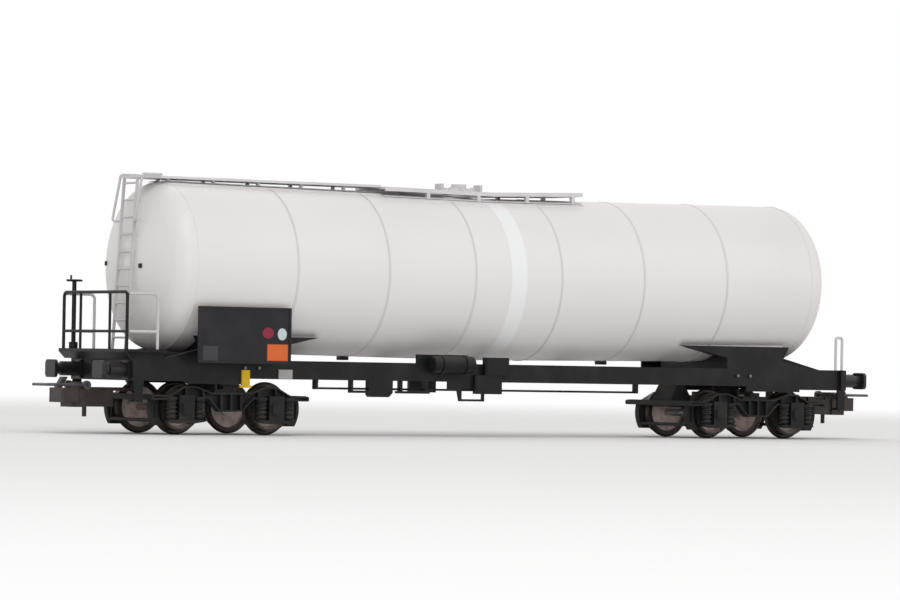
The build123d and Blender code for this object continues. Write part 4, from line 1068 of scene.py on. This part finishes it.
@dataclass
class Walkways:
    """Both walkways, their grating, and the manhole."""

    palette: Palette
    rim: float = 0.4
    recess: float = 0.15
    bar: float = 0.12
    bar_sink: float = 0.03
    pitch: float = 0.55
    rows: int = 8
    edge_width: float = 0.3
    edge_height: float = 0.85
    edge_proud: float = 0.02
    wide_sag: float = 0.7
    wide_drop: float = 0.4
    narrow_foot: float = 4.0
    narrow_foot_end: float = 76.0
    wide_foot: float = 6.3
    foot_width: float = 0.5
    foot_height: float = 0.5

    def build(self) -> None:
        """Dresses the nodes, lays the grating and adds the edge channels and foot rails."""
        for node in ("walkway_narrow", "walkway_wide", "manhole"):
            dress(node, self.palette.walkway)
        self.narrow_grating()
        self.edges()
        self.foot_rails()

    def edges(self) -> None:
        """A channel along both long edges and across the right end of the wide walkway."""
        piece = Piece("walkway_edges")
        low, high = box_mm("walkway_wide")
        top = high.z - self.edge_height / 2
        places = [(low.x, top - self.wide_drop), (0.0, top - self.wide_sag), (high.x, top)]
        y = high.y - self.edge_width / 2 + self.edge_proud
        for side in (-y, y):
            for (x1, z1), (x2, z2) in zip(places, places[1:]):
                start, end = Vector((x1, side, z1)), Vector((x2, side, z2))
                piece.beam(start, end, self.edge_width, self.edge_height)
        x = high.x - self.edge_width / 2 + self.edge_proud
        piece.beam(Vector((x, -y, top)), Vector((x, y, top)), self.edge_width, self.edge_height)
        piece.finish(self.palette.walkway, "car", "walkway_grey")

    def foot_rails(self) -> None:
        """Rails on the tank that the feet of both walkways stand between."""
        piece = Piece("walkway_foot_rails")
        narrow, wide = box_mm("walkway_narrow")[1].x, box_mm("walkway_wide")
        for y, start, stop in (
            (self.narrow_foot, -self.narrow_foot_end, narrow),
            (self.wide_foot, wide[0].x, 0.0),
            (self.wide_foot, 0.0, wide[1].x),
        ):
            outer = y + self.foot_width / 2
            for side in (-y, y):
                ends = (Vector((x, side, tank_height(x, outer))) for x in (start, stop))
                piece.beam(*ends, self.foot_width, self.foot_height)
        piece.finish(self.palette.walkway, "car", "walkway_grey")

    def narrow_grating(self) -> None:
        """Bars across the recess of the narrow walkway."""
        low, high = box_mm("walkway_narrow")
        piece = Piece("walkway_grating")
        start, stop = low.x + self.rim, high.x - self.rim
        near, far = low.y + self.rim, high.y - self.rim
        floor, top = high.z - self.recess - self.bar, high.z - self.bar_sink
        half = self.bar / 2
        count = int((stop - start) / self.pitch)
        for number in range(1, count):
            x = start + number * (stop - start) / count
            piece.block((x - half, near, floor), (x + half, far, top))
        for number in range(1, self.rows):
            y = near + number * (far - near) / self.rows
            piece.block((start, y - half, floor), (stop, y + half, top - self.bar_sink))
        piece.finish(self.palette.walkway, "car", "walkway_grey")


@dataclass
class SidePanels:
    """The two side panels with their plain patches of colour.

    Each row of patches on the near panel holds the end of the panel that its first two numbers
    are measured from, its start and end along the panel, its lower and upper edge above the
    panel's foot, its colour, and whether it is round.
    """

    palette: Palette
    rows: tuple[tuple, ...] = (
        (End.PLATFORM, 1.1, 4.5, 0.5, 3.4, linear(62, 62, 67), False),
        (End.PLAIN, -5.5, -0.6, 0.6, 4.0, linear(176, 78, 40), False),
        (End.PLAIN, -5.35, -0.75, 0.75, 3.85, linear(214, 104, 50), False),
        (End.PLAIN, -6.6, -4.0, 5.1, 7.3, linear(138, 42, 62), True),
        (End.PLAIN, -3.1, -1.0, 4.8, 7.2, linear(196, 206, 208), True),
    )

    def build(self) -> None:
        """Dresses both panels."""
        low, high = box_mm("panel_near")
        near = []
        for end, start, stop, foot, top, colour, is_round in self.rows:
            x = low.x if end is End.PLATFORM else high.x
            near.append(Patch(x + start, x + stop, low.z + foot, low.z + top, colour, is_round))
        far = [patch.mirrored() for patch in near]
        dress("panel_near", PanelFinish("panel_black_near", tuple(near)).build())
        dress("panel_far", PanelFinish("panel_black_far", tuple(far)).build())


@dataclass
class Tank:
    """The tank shell."""

    palette: Palette

    def build(self) -> None:
        """Dresses the tank."""
        dress("tank_shell", self.palette.tank)


@dataclass(frozen=True)
class Lamp:
    """A square soft lamp: its place, the length of its side and its power in watts."""

    name: str
    place: Point
    side: float
    power: float

    def build(self, target: Vector) -> None:
        """Adds the lamp, turned to a point in metres."""
        data = bpy.data.lights.new(self.name, "AREA")
        data.shape = "SQUARE"
        data.size = self.side * MM
        data.energy = self.power
        lamp = bpy.data.objects.new(self.name, data)
        spot = Vector(self.place) * MM
        turn = (target - spot).to_track_quat("-Z", "Y").to_matrix().to_4x4()
        lamp.matrix_world = Matrix.Translation(spot) @ turn
        bpy.context.scene.collection.objects.link(lamp)


@dataclass
class Studio:
    """Floor, backdrop, lamps and camera."""

    azimuth: float = math.radians(-32.56)
    elevation: float = math.radians(-0.82)
    roll: float = math.radians(-1.0)
    distance: float = 928.1
    target: Point = (-6.26, 0.0, 28.52)
    focal_pixels: float = 4417.94
    image_width: int = 900
    sensor: float = 36.0
    clip: Span = (20.0, 50000.0)
    floor_radius: float = 6000.0
    floor_sides: int = 96
    floor_colour: Colour = (0.86, 0.86, 0.86)
    floor_roughness: float = 0.9
    floor_gloss: float = 0.1
    floor_fade: Span = (260.0, 900.0)
    sky_colour: Colour = (1.0, 0.99, 0.98)
    sky_light: float = 0.62
    lamps: tuple[Lamp, ...] = (
        Lamp("key_lamp", (-500, -900, 1150), 700, 5.0),
        Lamp("fill_lamp", (900, -700, 500), 900, 1.6),
        Lamp("low_lamp", (-520, -860, 60), 420, 1.5),
        Lamp("back_lamp", (200, 900, 900), 800, 1.8),
    )

    def build(self) -> None:
        """Sets up the stage and the camera."""
        self.camera()
        self.floor()
        self.world()
        for lamp in self.lamps:
            lamp.build(Vector((0, 0, self.target[2])) * MM)
        bpy.context.scene.view_settings.view_transform = "Standard"

    def camera(self) -> None:
        """The camera at the place that the photograph was taken from."""
        a, e, r = self.azimuth, self.elevation, self.roll
        back = Vector((math.sin(a) * math.cos(e), -math.cos(a) * math.cos(e), math.sin(e)))
        right = Vector((math.cos(a), math.sin(a), 0))
        up = back.cross(right)
        x = right * math.cos(r) - up * math.sin(r)
        y = right * math.sin(r) + up * math.cos(r)
        place = (Vector(self.target) + back * self.distance) * MM
        data = bpy.data.cameras.new("photo_camera")
        data.sensor_width = self.sensor
        data.lens = self.focal_pixels * self.sensor / self.image_width
        data.clip_start, data.clip_end = (distance * MM for distance in self.clip)
        camera = bpy.data.objects.new("photo_camera", data)
        turn = Matrix((x, y, back)).transposed().to_4x4()
        camera.matrix_world = Matrix.Translation(place) @ turn
        bpy.context.scene.collection.objects.link(camera)
        bpy.context.scene.camera = camera

    def floor(self) -> None:
        """A pale floor that turns into the white background far from the car."""
        mesh = bmesh.new()
        radius = self.floor_radius * MM
        bmesh.ops.create_circle(mesh, cap_ends=True, segments=self.floor_sides, radius=radius)
        data = bpy.data.meshes.new("floor")
        mesh.to_mesh(data)
        mesh.free()
        shader = Shader("floor_white")
        shader.feed(
            Base_Color=self.floor_colour,
            Roughness=self.floor_roughness,
            Specular_IOR_Level=self.floor_gloss,
        )
        away = ((shader.x * shader.x + shader.y * shader.y) ** 0.5).step(*self.floor_fade)
        glow = shader.node("ShaderNodeEmission", inputs={"Color": WHITE, "Strength": 1.0})
        seen = shader.seen() * away
        inputs = {0: seen, 1: shader.principled.outputs[0], 2: glow.outputs[0]}
        mixed = shader.node("ShaderNodeMixShader", inputs=inputs)
        shader.put(shader.output.inputs["Surface"], mixed.outputs[0])
        data.materials.append(shader.material)
        floor = bpy.data.objects.new("floor", data)
        bpy.context.scene.collection.objects.link(floor)

    def world(self) -> None:
        """A soft even sky that the camera and gloss see as white."""
        world = bpy.data.worlds.new("studio")
        world.use_nodes = True
        bpy.context.scene.world = world
        tree = Tree(world.node_tree)
        inputs = {"Color": (*self.sky_colour, 1), "Strength": self.sky_light}
        light = tree.node("ShaderNodeBackground", inputs=inputs)
        white = tree.node("ShaderNodeBackground", inputs={"Color": WHITE, "Strength": 1.0})
        inputs = {0: tree.seen(), 1: light.outputs[0], 2: white.outputs[0]}
        mixed = tree.node("ShaderNodeMixShader", inputs=inputs)
        tree.node("ShaderNodeOutputWorld", inputs={"Surface": mixed.outputs[0]})


def main() -> None:
    """Builds every sub-assembly in order."""
    logging.basicConfig(level=logging.INFO, format="%(name)s %(message)s")
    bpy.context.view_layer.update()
    palette = Palette()
    Tank(palette).build()
    Underframe(palette).build()
    for end in End:
        Bogie(palette, end).build()
    Buffers(palette).build()
    Couplings(palette).build()
    Platform(palette).build()
    Walkways(palette).build()
    SidePanels(palette).build()
    Studio().build()


if __name__ == "__main__":
    main()
